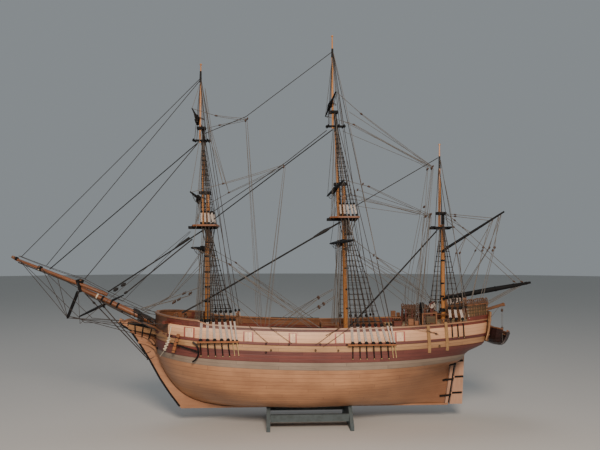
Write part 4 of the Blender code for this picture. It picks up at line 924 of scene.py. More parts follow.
def rigYards():
    running, blocks, slings, dark = meshes(4)
    for yard in yards.values():
        for side in (-1, 1):
            rigYardSide(yard, side, running, blocks, slings, dark)
        # parrel and sling where the yard meets its mast
        x, z = yard["at"]
        for y in (-3.2, 3.2):
            addLine(slings, [(x - 2.4, y, z + 1.6), (x + 1, y, z + 3.2), (x + 7, y * 1.1, z + 1),
                             (x + 8.5, y * 0.4, z)], 0.5)
        for k in range(5):
            y = -2.6 + k * 1.2
            addRod(slings, (x, y, z - 2.8), (x, y + 1, z - 2.8), 1.1)
    ropePiece("runningRigging", running, "greyBeigeRunning")
    ropePiece("yardFootropes", slings, "darkBrownShroud")
    newPiece("yardBlocks", blocks, "boxwoodBlocks", smooth=60)
    newPiece("yardSlings", dark, "blackStainedWood", smooth=60)


rigYards()
print("yards rigged")


# Bow rigging: radius, then a line's points, in the middle plane as (x, z) or on both sides as (x, y, z)
striker = (-285, 144.5)
middleLines = (
    (0.42, (-349, 220.8), striker), (0.42, (-319, 209), striker), (0.42, (-300, 201.5), striker),
    # the jibboom's guy, kept close under the spar, is also painted shade on the spar's underside
    (0.8, (-352, 219.7), (-276, 189.4)))   # the last is the jibboom's guy, close under the spar
bobstays = (((-262, 177.2), (-176, 87.5)), ((-246, 169.8), (-181, 95.5)))
bowLines = (
    (0.42, (-285, 0, 144.5), (-212, 12, 138.5)), (0.42, (-284.6, 0, 147), (-196, 14, 125.5)),
    (0.8, (-262, 2.6, 178), (-156, 24, 127)),     # bowsprit shrouds
    # a thick dark line along each side of the bowsprit's underside: partly dark rope and iron, partly painted
    # shade under the spar
    (1.3, (-256, 2, 174.6), (-200, 2.4, 148.4)))
spreaders = {   # places on the spritsail yard, whose port arm is lower: x, y out, height, lift per side
    "outer": (-237.5, 84, 151.5, 4), "inner": (-237.5, 52, 152, 2.4),
    "arm": (-236.5, 104, 153.5, 4.8)}
guyLines = (    # radius, from, to, where a name is a spreader's
    (0.36, (-349, 1.6, 222.5), "outer"), (0.36, "outer", (-148, 50, 141)),
    (0.36, (-319, 1.8, 210.5), "inner"), (0.36, "inner", (-152, 40, 140)),
    (0.34, "arm", (-272, 2, 193)), (0.32, "arm", (-121, 5, 262)))
handLines = ((1, (-351, 2.2, 228.5)), (1.5, (-170, 12, 150)))   # sag, far end; above the jibboom
bowspritForm = {"heel": (-160.4, 133.8), "end": (-271, 185.2)}
bowspritHoops = ((-238.5, 3.6), (-226.5, 3.75), (-218, 3.85))    # x, radius of the spar
whippings = ((-246.5, 173.8, 4.1, 0.4647), (-324.5, 211.9, 2.9, 0.4))    # x, z, radius, slope


def bowspritZ(x):
    (x0, z0), (x1, z1) = bowspritForm["heel"], bowspritForm["end"]
    return z0 + (z1 - z0) * (x - x0) / (x1 - x0)


def rigBow():
    dark, blocks, bands, cream = meshes(4)
    for radius, (x0, z0), (x1, z1) in middleLines:
        addLine(dark, [(x0, 0, z0), (x1, 0, z1)], radius)
    for side in (-1, 1):
        for radius, *points in bowLines:
            addLine(dark, sided(points, side), radius)
        spread = {name: (x, side * y, z + side * lift) for name, (x, y, z, lift) in spreaders.items()}
        for radius, *ends in guyLines:
            addLine(dark, [spread[end] if end in spread else (end[0], side * end[1], end[2]) for end in ends],
                    radius)
        for sag, (x, y, z) in handLines:
            addLine(dark, sagging((-266, side * 6, 197.5), (x, side * y, z), sag), 0.34)
        for share in (0.25, 0.5, 0.75):
            spot = between((-262, side * 2.6, 179.5), (-156, side * 24, 128), share)
            addBlock(blocks, spot, (1, 0.2, -0.5), 2.6)
    for (x0, z0), (x1, z1) in bobstays:
        ends = (x0, 0, z0), (x1, 0, z1)
        addLine(dark, ends, 0.75)
        addBlock(dark, between(*ends, 0.14), (x1 - x0, 0, z1 - z0), 4.4)
    for x, radius in bowspritHoops:
        z = bowspritZ(x)
        addRod(bands, (x + 1.2, 0, z - 0.56), (x - 1.2, 0, z + 0.56), radius + 0.35, sides=16)
    for x, z, radius, slope in whippings:
        for along in (0, 0.9):
            addRod(cream, (x + along, 0, z - along * slope),
                   (x + along + 0.8, 0, z - (along + 0.8) * slope), radius, sides=14)
    ropePiece("bowRigging", dark, "darkBrownShroud")
    newPiece("bowBlocks", blocks, "blackStainedWood", smooth=60)
    newPiece("bowspritBands", bands, "blackStainedWood")
    newPiece("creamLashings", cream, "creamLashing")


rigBow()
print("bow rigged")


# Gaff and boom rigging: a line's first end is on the ship, its last on the spar
sparLines = {
    "peakHalyards": ("gaff", (236, 0, 287), (301, 0, 280), (
        ((236.5, -1.4, 287.6), (250, -1.2, 286.6), (304.5, 0, 282)),
        ((236.5, 1.4, 285.2), (251, 1.2, 284.2), (299, 0, 278.6)),
        ((236.5, 0.8, 283), (262, 0.8, 268), (272, 0, 262)),)),
    "toppingLifts": ("boom", (237, 0, 288), (343, 0, 192), (
        ((236.5, -2.4, 288.5), (249, -2.6, 278.5), (344, -2.2, 192), (349, 0, 190)),
        ((236.5, 2.4, 281.5), (249, 2.6, 269.5), (335, 2.4, 192), (340, 0, 188.5)),)),
    "boomSheets": ("boom", (284, 0, 156.5), (338, 0, 184), (
        ((281.5, -9, 154.6), (343, -0.6, 185.8)), ((281.5, -6, 154.6), (336, -0.6, 184.4)),
        ((281.5, 6, 154.6), (340, 0.6, 185.2)), ((281.5, 9, 154.6), (333, 0.6, 183.8)),)),
    "peakVangs": ("gaff", (268, 0, 166.5), (318, 0, 287), (
        ((266, -47, 164.9), (300, -10, 236), (317, -0.6, 287.5)),
        ((270, -46.2, 165.3), (303, -10, 240), (313, -0.6, 284.5)),
        ((266, 47, 164.9), (300, 10, 236), (317, 0.6, 287.5)),
        ((270, 46.2, 165.3), (303, 10, 240), (313, 0.6, 284.5)),)),
    "gaffBrails": ("gaff", (254, 0, 160), (290, 0, 272), (
        ((252, -49, 152), (284, -14, 236), (305, -0.6, 279.8)),
        ((250.2, -49.4, 152), (286, -12, 240), (300, -0.6, 276.8)),
        ((252, 49, 152), (284, 14, 236), (305, 0.6, 279.8)),
        ((244, -51.6, 142.6), (254, -8, 232.5), (266, -0.6, 255.8)),
        ((244, 51.6, 142.6), (254, 8, 232.5), (266, 0.6, 255.8)),)),
}


def rigSpars():
    for name, (body, shipEnd, sparEnd, runs) in sparLines.items():
        bm, blocks = bmesh.new(), bmesh.new()
        for points in runs:
            fine = []
            for a, b in zip(points, points[1:]):
                fine += [between(a, b, k / 8) for k in range(8)]
            fine.append(points[-1])
            addLine(bm, fine, 0.42, 5)
            for spot, following in zip(points[1:-1], points[2:]):
                addBlock(blocks, spot, Vector(following) - Vector(spot), 3.4)
        rope = ropePiece(name, bm, "greyBeigeRunning", None)
        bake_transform(rope)
        if name != "boomSheets":
            block = newPiece(name + "Blocks", blocks, "boxwoodBlocks", None, smooth=60)
            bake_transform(block)
        else:
            blocks.free()


rigSpars()
print("gaff and boom rigged")


# Bands and boots on the lower masts: heights of the bands, mast's radius, then height and radius of the boot
mastBands = {
    "fore": ((206.5, 186, 166, 228), 3.35, 140.6, 5.4),
    "main": ((211.3, 182.1, 155.7, 238), 3.45, 116, 5.6),
    "mizzen": ((172, 190, 222), 2.8, 153.8, 4.8),
}


def bandMasts():
    bm = bmesh.new()
    for name, (heights, radius, bootZ, bootRadius) in mastBands.items():
        for z in heights:
            x = mastX(masts[name], z)
            addRod(bm, (x, 0, z - 1.1), (x, 0, z + 1.1), radius + 0.35, sides=18)
        x = mastX(masts[name], bootZ)
        addRod(bm, (x, 0, bootZ - 3), (x, 0, bootZ + 1.5), bootRadius, bootRadius * 0.72, 20)
    newPiece("mastBands", bm, "blackStainedWood")


bandMasts()
print("masts banded")


# Channels in place of their plain solids: a cherry board, black deadeyes and plates, pale bolts
channelForm = {"thick": 1.5, "chainLean": 0.045, "plate": (1.5, 1)}


def chainFoot(x, low, footZ):
    z = footZ + rise(x) * 0.3
    out = x + channelForm["chainLean"] * (x - low)
    return out, max(hullHalf(out, z), hullHalf(out, z + 4)) + 1.2, z


def makeChannelBoard(mast, side, edge):
    (low, high), z, _ = mast["channel"]
    board = bmesh.new()
    made = bmesh.ops.create_grid(board, x_segments=12, y_segments=2, size=0.5)
    for vert in made["verts"]:
        x = low + (high - low) * (vert.co.x + 0.5)
        inner = hullHalf(x, z) + 0.3
        y = inner + (edge - inner) * (vert.co.y + 0.5)
        vert.co = at(x, side * y, z - channelForm["thick"] / 2)
    thickened = bmesh.ops.extrude_face_region(board, geom=board.faces[:])
    bmesh.ops.translate(board, vec=(0, 0, channelForm["thick"] * mm),
                        verts=[item for item in thickened["geom"] if isinstance(item, bmesh.types.BMVert)])
    bmesh.ops.recalc_face_normals(board, faces=board.faces)
    # moulding along the outer edge
    y = side * (edge + 0.15)
    addBar(board, (low + 0.6, y, z + 0.1), (high - 0.6, y, z + 0.1), 0.7, 2, 0.25)
    return board


def dressChannel(name, mast, side, word):
    (low, _), z, _ = mast["channel"]
    y, edge = side * eyeY(mast), eyeY(mast) + 1.3
    board = makeChannelBoard(mast, side, edge)
    channel = newPiece("%sChannel%s" % (name, word), board, "cherryTops")
    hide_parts("%s_channel_%s" % (name, word.lower()))
    eyes, chains, bolts = meshes(3)
    for x in mast["feet"]:
        addDeadeye(eyes, (x, y, z + 2.1), 2.45, 2.4)
        footX, footY, footZ = chainFoot(x, low, mast["chainZ"])
        top, foot = (x, side * (edge - 0.2), z + 0.6), (footX, side * footY, footZ)
        addBar(chains, top, foot, *channelForm["plate"], 0.2)
        stud = [(footX, side * (footY + out), footZ) for out in (-1, 0.5)]
        addRod(chains, *stud, 1.25, 1.1, 10)
        boltZ = footZ - 0.4
        addRod(bolts, (footX, side * footY, boltZ), (footX, side * (footY + 1.3), boltZ), 0.75, 0.55, 10)
    for x in mast["backFeet"]:
        addDeadeye(eyes, (x, y, z + 1.6), 1.5, 1.8)
        footX, footY, footZ = chainFoot(x, low, mast["chainZ"] + 1.5)
        addRod(bolts, (x, side * (edge - 0.2), z + 0.4), (footX, side * footY, footZ), 0.5)
        boltZ = footZ - 0.4
        addRod(bolts, (footX, side * footY, boltZ), (footX, side * (footY + 1.2), boltZ), 0.75, 0.55, 10)
    newPiece("%sLowerDeadeyes%s" % (name, word), eyes, "blackStainedWood")
    newPiece("%sChainplates%s" % (name, word), chains, "blackenedBrass")
    newPiece("%sBolts%s" % (name, word), bolts, "paleBrass")


for mastName in ("fore", "main"):
    for sideSign, sideWord in ((-1, "Port"), (1, "Starboard")):
        dressChannel(mastName, masts[mastName], sideSign, sideWord)
print("channels dressed")


# Gunports: pale lids in red frames on the gun band. Rows are x of the middle and width; heights are
# above the sheer line
ports = {"rows": ((-113.5, 14), (-38.5, 13), (18, 10.4), (78.5, 13), (156.5, 13)),
         "lid": (-13, -1.9), "posts": (-13.4, -1.2), "hinges": (-6.5, -1.6), "ring": -9.8}


def sidePatch(bm, x0, x1, heights, proud, thick, columns=8, rows=4):
    # a panel that follows the port side
    low, high = heights
    uvLayer = bm.loops.layers.uv.verify()
    made = bmesh.ops.create_grid(bm, x_segments=columns, y_segments=rows, size=0.5, calc_uvs=True)
    faces = list({face for vert in made["verts"] for face in vert.link_faces})
    for face in faces:
        for loop in face.loops:
            u, v = loop.vert.co.x + 0.5, loop.vert.co.y + 0.5
            loop[uvLayer].uv = ((x0 + (x1 - x0) * u) * mm, (low + (high - low) * v) * mm)
    for vert in made["verts"]:
        x = x0 + (x1 - x0) * (vert.co.x + 0.5)
        z = sheer(x) + low + (high - low) * (vert.co.y + 0.5)
        vert.co = at(x, -hullHalf(x, z) - proud + thick, z)
    out = bmesh.ops.extrude_face_region(bm, geom=faces)
    bmesh.ops.translate(bm, vec=(0, -thick * mm, 0),
                        verts=[item for item in out["geom"] if isinstance(item, bmesh.types.BMVert)])
    bmesh.ops.recalc_face_normals(bm, faces=bm.faces)


def makeGunports():
    lids, frames, hinges = meshes(3)
    for x, wide in ports["rows"]:
        half = wide / 2
        sidePatch(lids, x - half + 2, x + half - 2, ports["lid"], 1.2, 1)
        for edge in (-1, 1):
            post = x + edge * (half - 0.9)
            sidePatch(frames, post - 0.9, post + 0.9, ports["posts"], 1, 0.8, 2, 6)
        lintel = (ports["lid"][1], ports["posts"][1])
        sidePatch(frames, x - half + 1.6, x + half - 1.6, lintel, 1, 0.8, 6, 1)
        for shift in (-0.22, 0.22):
            spot = x + shift * wide
            sidePatch(hinges, spot - 0.35, spot + 0.35, ports["hinges"], 1.75, 0.7, 1, 3)
        z = sheer(x) + ports["ring"]
        y = -hullHalf(x, z)
        addRod(hinges, (x, y - 1, z), (x, y - 2, z), 0.6, 0.5)
    for bm in (lids, frames, hinges):
        mirrorToStarboard(bm)
    newPiece("gunportLids", lids, "limePortLids")
    newPiece("gunportFrames", frames, "mahoganyFrames")
    newPiece("gunportHinges", hinges, "paleBrass")


makeGunports()
print("gunports made")


# Head of the ship: rails, cheeks and the timbers between them, given for the port side with y outwards
headRails = {
    "upper": ((-208.5, 3.4, 140), (-203, 4, 141.8), (-195, 5.8, 140.4), (-186, 8.2, 138.7),
              (-172.7, 13.2, 135.5), (-162, 22.6, 132.6), (-157, 32, 131.2), (-151, 39.8, 130.4)),
    "middle": ((-202.5, 3.6, 132.6), (-192.3, 5.8, 130.7), (-183, 8.6, 129.4), (-174, 11.7, 127.9),
               (-163.5, 18.6, 127), (-158, 30, 126.6), (-152, 38.6, 126.4), (-144, 46.2, 126)),
    "lower": ((-200.5, 3.5, 125.6), (-189, 4.4, 123.4), (-177.6, 6.2, 121), (-169, 9.4, 117.8),
              (-162, 18, 113)),
    # black strips in the gap under the upper rail: painted shade
    "shadeGap": ((-204, 3, 136.6), (-192, 4.8, 135.2), (-182, 7.2, 133.8), (-172, 11, 131.8),
               (-161, 16.2, 129)),
}
headForm = {"cheeks": ((122.2, 0), (111.5, 4.5)), "timbers": (0.2, 0.45, 0.7),
            "scroll": (-212.2, 138.2, 3.6)}    # x, z, size
hawsePipes = ((-162.5, 123.2), (-158.5, 106.5))
gammonTurns = {"from": -190, "step": 1.25, "count": 7, "thick": 0.62}
bobstayCollars = ((-176.5, 87.6), (-180.8, 95.4))


def addBentBar(bm, points, wide, deep, steps=4):
    # a timber bent through points, square in section
    places = []
    for k in range(len(points) - 1):
        p0, p1, p2, p3 = (points[min(max(k + n, 0), len(points) - 1)] for n in (-1, 0, 1, 2))
        for n in range(steps):
            t = n / steps
            places.append(tuple(0.5 * (2 * b + (c - a) * t + (2 * a - 5 * b + 4 * c - d) * t * t
                                       + (3 * b - a - 3 * c + d) * t ** 3)
                                for a, b, c, d in zip(p0, p1, p2, p3)))
    places.append(points[-1])
    for a, b in zip(places, places[1:]):
        addBar(bm, a, between(a, b, 1.12), wide, deep, 0.18)


def portRail(name, inward=0, lift=0):
    return [(x, -y + inward, z + lift) for x, y, z in headRails[name]]


def makeHead():
    rails, timbers, planks, cheeks = meshes(4)
    addBentBar(rails, portRail("upper"), 1.6, 2.1)
    # the broad plank below the upper rail, and black strips in the gap between them as painted shade
    for lift in (-2.1, 0, 2.1):
        addBentBar(planks, portRail("middle", 0.25, lift), 1.6, 2.12)
    for lift in (0.6, -1.8):
        addBentBar(timbers, portRail("shadeGap", 0.6, lift), 0.8, 3)
    addBentBar(rails, portRail("lower"), 1.7, 2.3)
    row, low = headRails["upper"], headRails["lower"]
    for share in headForm["timbers"]:
        top, foot = between(row[1], row[-1], share), between(low[0], low[-1], share)
        ends = (top[0], -top[1] + 1.1, top[2] - 1), (foot[0], -foot[1] + 0.9, foot[2])
        addBar(timbers, *ends, 1.5, 1.1, 0.15)
    # cheeks hold the cutwater to the bow
    for z, reach in headForm["cheeks"]:
        addBentBar(cheeks, [(-194 + reach, -3.2, z), (-184 + reach, -3.8, z - 1.6),
                            (-176.5 + reach, -5.2, z - 4.3), (-170 + reach, -8, z - 8),
                            (-165.5 + reach * 0.6, -11, z - 12)], 2.2, 2.6)
    for bm in (rails, timbers, planks, cheeks):
        mirrorToStarboard(bm)
    # scroll at the head's tip: a bar rolled up in a tightening turn
    middleX, middleZ, size = headForm["scroll"]
    turns = []
    for k in range(17):
        angle = math.radians(80 - 34 * k)
        spread = size - 0.17 * k
        turns.append((middleX + spread * math.cos(angle), 0, middleZ + spread * math.sin(angle)))
    for a, b in zip(turns, turns[1:]):
        addBar(rails, a, between(a, b, 1.1), 5.8, 1.1, 0.2)
    newPiece("headRails", rails, "cherryRails")
    newPiece("headPlank", planks, "limeTanTimber")
    newPiece("headTimbersAndShadeStrips", timbers, "blackStainedWood")
    newPiece("bowCheeks", cheeks, "pearTimber")


def dressBow():
    black, gammon, collars = meshes(3)
    # hawse pipes in blackened metal; their closed dark ends also paint the shade inside the holes
    for side in (-1, 1):
        for x, z in hawsePipes:
            y = hullHalf(x, z)
            addRod(black, (x + 0.6, side * (y - 1.5), z), (x - 1.4, side * (y + 1.1), z), 1.9, 1.7, 14)
    # gammoning over the bowsprit down through the cutwater
    for k in range(gammonTurns["count"]):
        x = gammonTurns["from"] + k * gammonTurns["step"]
        z = bowspritZ(x)
        for side in (-1, 1):
            addLine(gammon, [(x, 0, z + 4.4), (x + 0.2, side * 4.1, z + 0.6), (x - 0.6, side * 2.7, 130),
                             (x - 0.8, side * 1.9, 127.5)], gammonTurns["thick"])
        addLine(gammon, [(x, -2.4, z + 3.8), (x, 0, z + 4.5), (x, 2.4, z + 3.8)], gammonTurns["thick"])
    # bobstay collars round the cutwater
    for x, z in bobstayCollars:
        front = [(x - 1.5, 0, z - 0.4)]
        port = [(x + 1.8, -2.5, z + 0.8), (x + 5.3, -2.5, z + 1.9), (x + 8.5, -2.3, z + 4)]
        addLine(collars, front + port + sided(port[::-1], -1) + front, 0.55)
    newPiece("hawsePipes", black, "blackenedBrass")
    ropePiece("gammoning", gammon, "tarredStay")
    ropePiece("bobstayCollars", collars, "darkBrownShroud")


makeHead()
dressBow()
print("head made")


# Hinge line and straps of the rudder: height and length of each strap on the rudder and on the ship
rudderHinge = {"low": (237.4, 23), "high": (250.8, 100)}
rudderStraps = ((82.2, 11), (60.4, 14.5), (38.4, 16))
gudgeonStraps = ((78, 9), (57.4, 15), (35.6, 15))


def hingeX(z):
    (x0, z0), (x1, z1) = rudderHinge["low"], rudderHinge["high"]
    return x0 + (x1 - x0) * (z - z0) / (z1 - z0)


def makeStraps():
    ship, turning, pintle = meshes(3)
    for z, long in rudderStraps:
        x = hingeX(z)
        for side in (-1, 1):
            addBar(turning, (x + 2.1, side * 2.9, z), (x + long, side * 2.9, z + 0.4), 0.6, 2.5, 0.15)
            for k in range(3):
                boltX = x + 3.8 + k * 3.2
                addRod(turning, (boltX, side * 2.9, z + 0.2), (boltX, side * 3.6, z + 0.2), 0.5, 0.35)
        addRod(turning, (x - 0.35, 0, z - 1.6), (x + 0.35, 0, z + 1.6), 2.7, sides=14)
    for z, long in gudgeonStraps:
        x = hingeX(z)
        for side in (-1, 1):
            bend = []
            for k in range(7):
                along = x + 0.4 - (long + 0.4) * k / 6
                bend.append((along, side * max(hullHalf(along, z - 0.2 * k) + 1.2, 3.4), z - 0.2 * k))
            for p, q in zip(bend, bend[1:]):
                addBar(ship, p, between(p, q, 1.06), 0.6, 2.5, 0.1)
            for p in bend[2::2]:
                addRod(ship, p, (p[0], p[1] + side * 0.8, p[2]), 0.5, 0.35)
        addRod(ship, (x - 0.35, 0, z - 1.3), (x + 0.35, 0, z + 1.3), 2.7, sides=14)
    addRod(pintle, (hingeX(23) + 0.2, 0, 24.4), (hingeX(97), 0, 97), 0.95, sides=12)
    newPiece("rudderStraps", turning, "blackenedBrass", "rudder")
    newPiece("gudgeonStraps", ship, "blackenedBrass")
    newPiece("rudderPintle", pintle, "blackStainedWood", "rudder")


makeStraps()
print("straps made")


# Fenders, eyebolts, mizzen chains, anchors and lines over the side: places on the side as (x, z)
sideTrim = {
    "fenders": (((193.8, 138.5), (195, 103.8)), ((218, 142.2), (219.3, 106))),
    "eyebolts": ((-16, 118), (13, 117), (53, 117), (87, 116), (-9.7, 110), (-16, 107.5),
                 (47, 109.5), (76, 109), (204.3, 128.6), (208, 113), (-137, 127)),
    "tackles": (((84.2, 142.4), (46.8, 115.4)), ((95.5, 140.2), (56.6, 113.4)),
                ((86.6, 141), (60, 127.4)), ((-14.4, 141), (17, 117.5)),
                ((-40.5, 143), (-14, 119)), ((170, 136), (204, 129)),
                ((182, 137.2), (207.5, 127))),
    "stock": ((-127.3, 129.2), (-130.6, 117.3), (-133.8, 105.8)), "hoops": (0.16, 0.4, 0.62, 0.86),
}
hawser = {   # the line above and below the coil: (x, z), the place on the side beside it, how far out
    "above": (((-137.5, 139), (-137.5, 136), 2), ((-139.5, 130), (-139.5, 128), 2.2),
              ((-140.2, 124), (-140, 124), 2.6)),
    "below": (((-146.6, 107.5), (-146.6, 107), 2.4), ((-152, 100.5), (-152, 100), 1.4),
              ((-156.2, 95.6), (-156, 96), 0.8)),
    "fromX": -139.5, "fromZ": 124.5, "perTurn": 4.4, "count": 22, "radius": 1.6,
}


def dressSides():
    wood, iron, tackle, plates, bolts = meshes(5)
    steps = 7
    for (x0, z0), (x1, z1) in sideTrim["fenders"]:
        for k in range(steps):
            ends = []
            for share in (k / steps, (k + 1.04) / steps):
                x, z = x0 + (x1 - x0) * share, z0 + (z1 - z0) * share
                ends.append((x, -hullHalf(x, z) - 1.7, z))
            addBar(wood, *ends, 4.2 - 0.6 * abs(k / steps - 0.4), 1.7, 0.3)
    for x, z in sideTrim["eyebolts"]:
        y = -hullHalf(x, z)
        addRod(iron, (x, y - 0.6, z), (x, y - 2, z), 0.45)
        angles = [math.radians(45 * k) for k in range(9)]
        addLine(iron, [(x + 1.1 * math.cos(a), y - 2.4, z - 0.8 + 1.1 * math.sin(a)) for a in angles], 0.32)
    for (xa, za), (xb, zb) in sideTrim["tackles"]:
        ya, yb = hullHalf(xa, za) + 4.4, hullHalf(xb, zb) + 2.6
        addLine(tackle, sagging((xa, -ya, za), (xb, -yb, zb), 0.6, 5), 0.3)
    mirrorToStarboard(wood)
    mirrorToStarboard(iron)
    # mizzen chainplates, flat on the side from the rail down to the moulding
    for x in masts["mizzen"]["feet"]:
        for side in (-1, 1):
            top = (x, side * (hullHalf(x, 138) + 2.2), 139.5)
            foot = (x + 0.6, side * (hullHalf(x, 122.6) + 1.9), 122)
            addBar(plates, top, foot, 1.5, 0.9, 0.2)
            x0, y0, z0 = foot[0], foot[1], foot[2] + 0.6
            addRod(plates, (x0, y0 - side * 0.5, z0), (x0, y0 + side * 0.5, z0), 1.2, 1.1, 10)
            addRod(bolts, (x0, y0 + side * 0.3, z0), (x0, y0 + side * 1.1, z0), 0.55, 0.45)
    newPiece("fenders", wood, "limeFenders")
    newPiece("eyebolts", iron, "blackenedBrass")
    ropePiece("sideTackles", tackle, "brownLine")
    newPiece("mizzenChainplates", plates, "blackenedBrass")
    newPiece("mizzenBolts", bolts, "paleBrass")


def besideHull(spot, onHull, out):
    return spot[0], -hullHalf(*onHull) - out, spot[1]


def dressAnchors():
    # cherry stocks in halves with iron hoops, and the coiled hawser by the port one
    stocks, hoops, rope = meshes(3)
    (x0, z0), (x1, z1), (x2, z2) = sideTrim["stock"]
    for side in (-1, 1):
        y = hullHalf(-130, 116) + 4.6
        head, foot = (x0, side * y, z0), (x2, side * y, z2)
        addBar(stocks, head, (x1, side * (y + 0.2), z1), 4.2, 4.2, 0.6)
        addBar(stocks, (x1 + 0.2, side * (y + 0.2), z1 + 0.5), foot, 4.2, 4.2, 0.6)
        for share in sideTrim["hoops"]:
            spot = between(head, foot, share)
            addBar(hoops, spot, between(spot, (x2 - 3, side * y, z2 - 10.5), 0.04), 4.6, 4.6, 0.1)
    y = -hullHalf(-141, 118) - 2.2
    for k in range(hawser["count"]):
        turn = math.radians(360 * k / hawser["perTurn"])
        x, z = hawser["fromX"] - 0.32 * k, hawser["fromZ"] - 0.78 * k
        ends = [(x - shift + hawser["radius"] * math.cos(angle), y - 0.9 * math.sin(angle), z - drop)
                for shift, drop, angle in ((0, 0, turn), (0.3, 0.4, turn + 1.43))]
        addLine(rope, ends, 1, 6)
    addLine(rope, [besideHull(*spot) for spot in hawser["above"]], 0.7)
    addLine(rope, [besideHull(*spot) for spot in hawser["below"]], 0.6)
    newPiece("anchorStocks", stocks, "cherryTops")
    newPiece("anchorHoops", hoops, "blackenedBrass")
    ropePiece("hawserCoil", rope, "creamLashing")


dressSides()
dressAnchors()
print("sides dressed")


# Caps and tops: black caps and mastheads, cherry rims, slats across the platforms
capRows = (   # x from, x to, half width, top
    (-108.9, -93, 4.3, 317.4), (-112.5, -100.8, 3.5, 407.4), (78.6, 96, 4.4, 330.4),
    (72.7, 84.1, 3.5, 432.4), (223.5, 236.9, 3.9, 289.9))
mastheads = (   # lower end, upper end, radii: the black stretch from a top or crosstree to its cap
    ((232.8, 272.5), (233, 287.6), 2.25, 2.15), ((-104.2, 389.5), (-104.3, 405), 1.85, 1.75),
    ((81.3, 411.5), (80.7, 430), 1.85, 1.75))
topRows = ((-117, -83, 268.9), (73, 111, 280.7))   # x from, x to, height
topForm = {"half": 18, "slats": 13, "slatStep": 2.6, "hole": 5}


def dressTops():
    caps, rims = meshes(2)
    for x0, x1, half, top in capRows:
        z = top - 1.7
        addBar(caps, (x0 - 0.3, 0, z), (x1 + 0.3, 0, z), 2 * half + 0.6, 4, 0.5)
        for y in (-half - 0.4, half + 0.4):
            addBar(caps, (x0 + 1, y, z), (x1 - 1, y, z), 0.6, 1.8, 0.1)
    for (x0, z0), (x1, z1), r0, r1 in mastheads:
        addRod(caps, (x0, 0, z0), (x1, 0, z1), r0, r1, 16)
    for fore, aft, z in topRows:
        outline = [(aft, topForm["half"]), (fore + 9, topForm["half"]), (fore + 3.15, 14.4), (fore, 7.2)]
        ring = outline + [(x, -y) for x, y in reversed(outline)]
        for a, b in zip(ring, ring[1:] + ring[:1]):
            addBar(rims, (*a, z + 1.1), (*b, z + 1.1), 2, 2.5, 0.3)
        for k in range(topForm["slats"]):
            y = -15.6 + topForm["slatStep"] * k
            if abs(y) > topForm["hole"]:
                start = fore + (1.5 if abs(y) < 7.2 else 3.6 if abs(y) < 14.4 else 8)
                addBar(rims, (start, y, z + 2.1), (aft - 1, y, z + 2.1), 1.5, 0.7, 0.15)
    newPiece("mastCaps", caps, "blackStainedWood")
    newPiece("topRims", rims, "cherryTops")


dressTops()
print("tops dressed")


# Lines down the masts to their pins: height of the pins, thickness, then (x, y, z) above and (x, y) of
# the foot, mirrored to the other side
mastFalls = (
    (138, 0.36, (   # foremast
        ((-103.5, 8, 266), (-110, 12)), ((-101, 12, 266), (-106, 15)),
        ((-98, 15, 266), (-101.5, 14)), ((-94, 14, 266), (-94, 14)),
        ((-90, 10, 266), (-90, 14)), ((-106, 5, 234), (-113, 8)),
        ((-104, 22, 236), (-108, 14)), ((-104, 52, 236), (-96, 57)),
        ((-101, 4.6, 228), (-104, 9)))),
    (134, 0.36, (   # mainmast
        ((86, 8, 278), (79, 12.5)), ((90, 12, 278), (82, 13)),
        ((94, 15, 278), (90, 57.5)), ((98, 14, 278), (99, 57.5)),
        ((102, 10, 278), (105, 57.5)), ((84, 5, 243), (75, 8)),
        ((85, 24, 245), (80, 14)), ((86, 56, 245), (92, 58)),
        ((89, 4.6, 236), (86, 9)))),
    (152, 0.34, (   # mizzen
        ((229, 5, 266), (224, 9)), ((226, 8, 266), (219, 12)),
        ((233, 6, 266), (238, 10)))),
    (272, 0.34, (   # fore topmast, to its top
        ((-105.5, 2.4, 386), (-113, 8)), ((-103, 2.6, 386), (-109, 12)),
        ((-102.5, 2.2, 384), (-97, 11)), ((-107.5, 12, 304), (-112, 10)),
        ((-105.5, 1.8, 398), (-101, 6)))),
    (284, 0.34, (   # main topmast, to its top
        ((79, 2.4, 409), (75, 8)), ((82, 2.6, 409), (80, 12)),
        ((83, 2.2, 407), (94, 11)), ((80.5, 12, 319), (76, 10)),
        ((81, 1.8, 424), (87, 6)))),
)
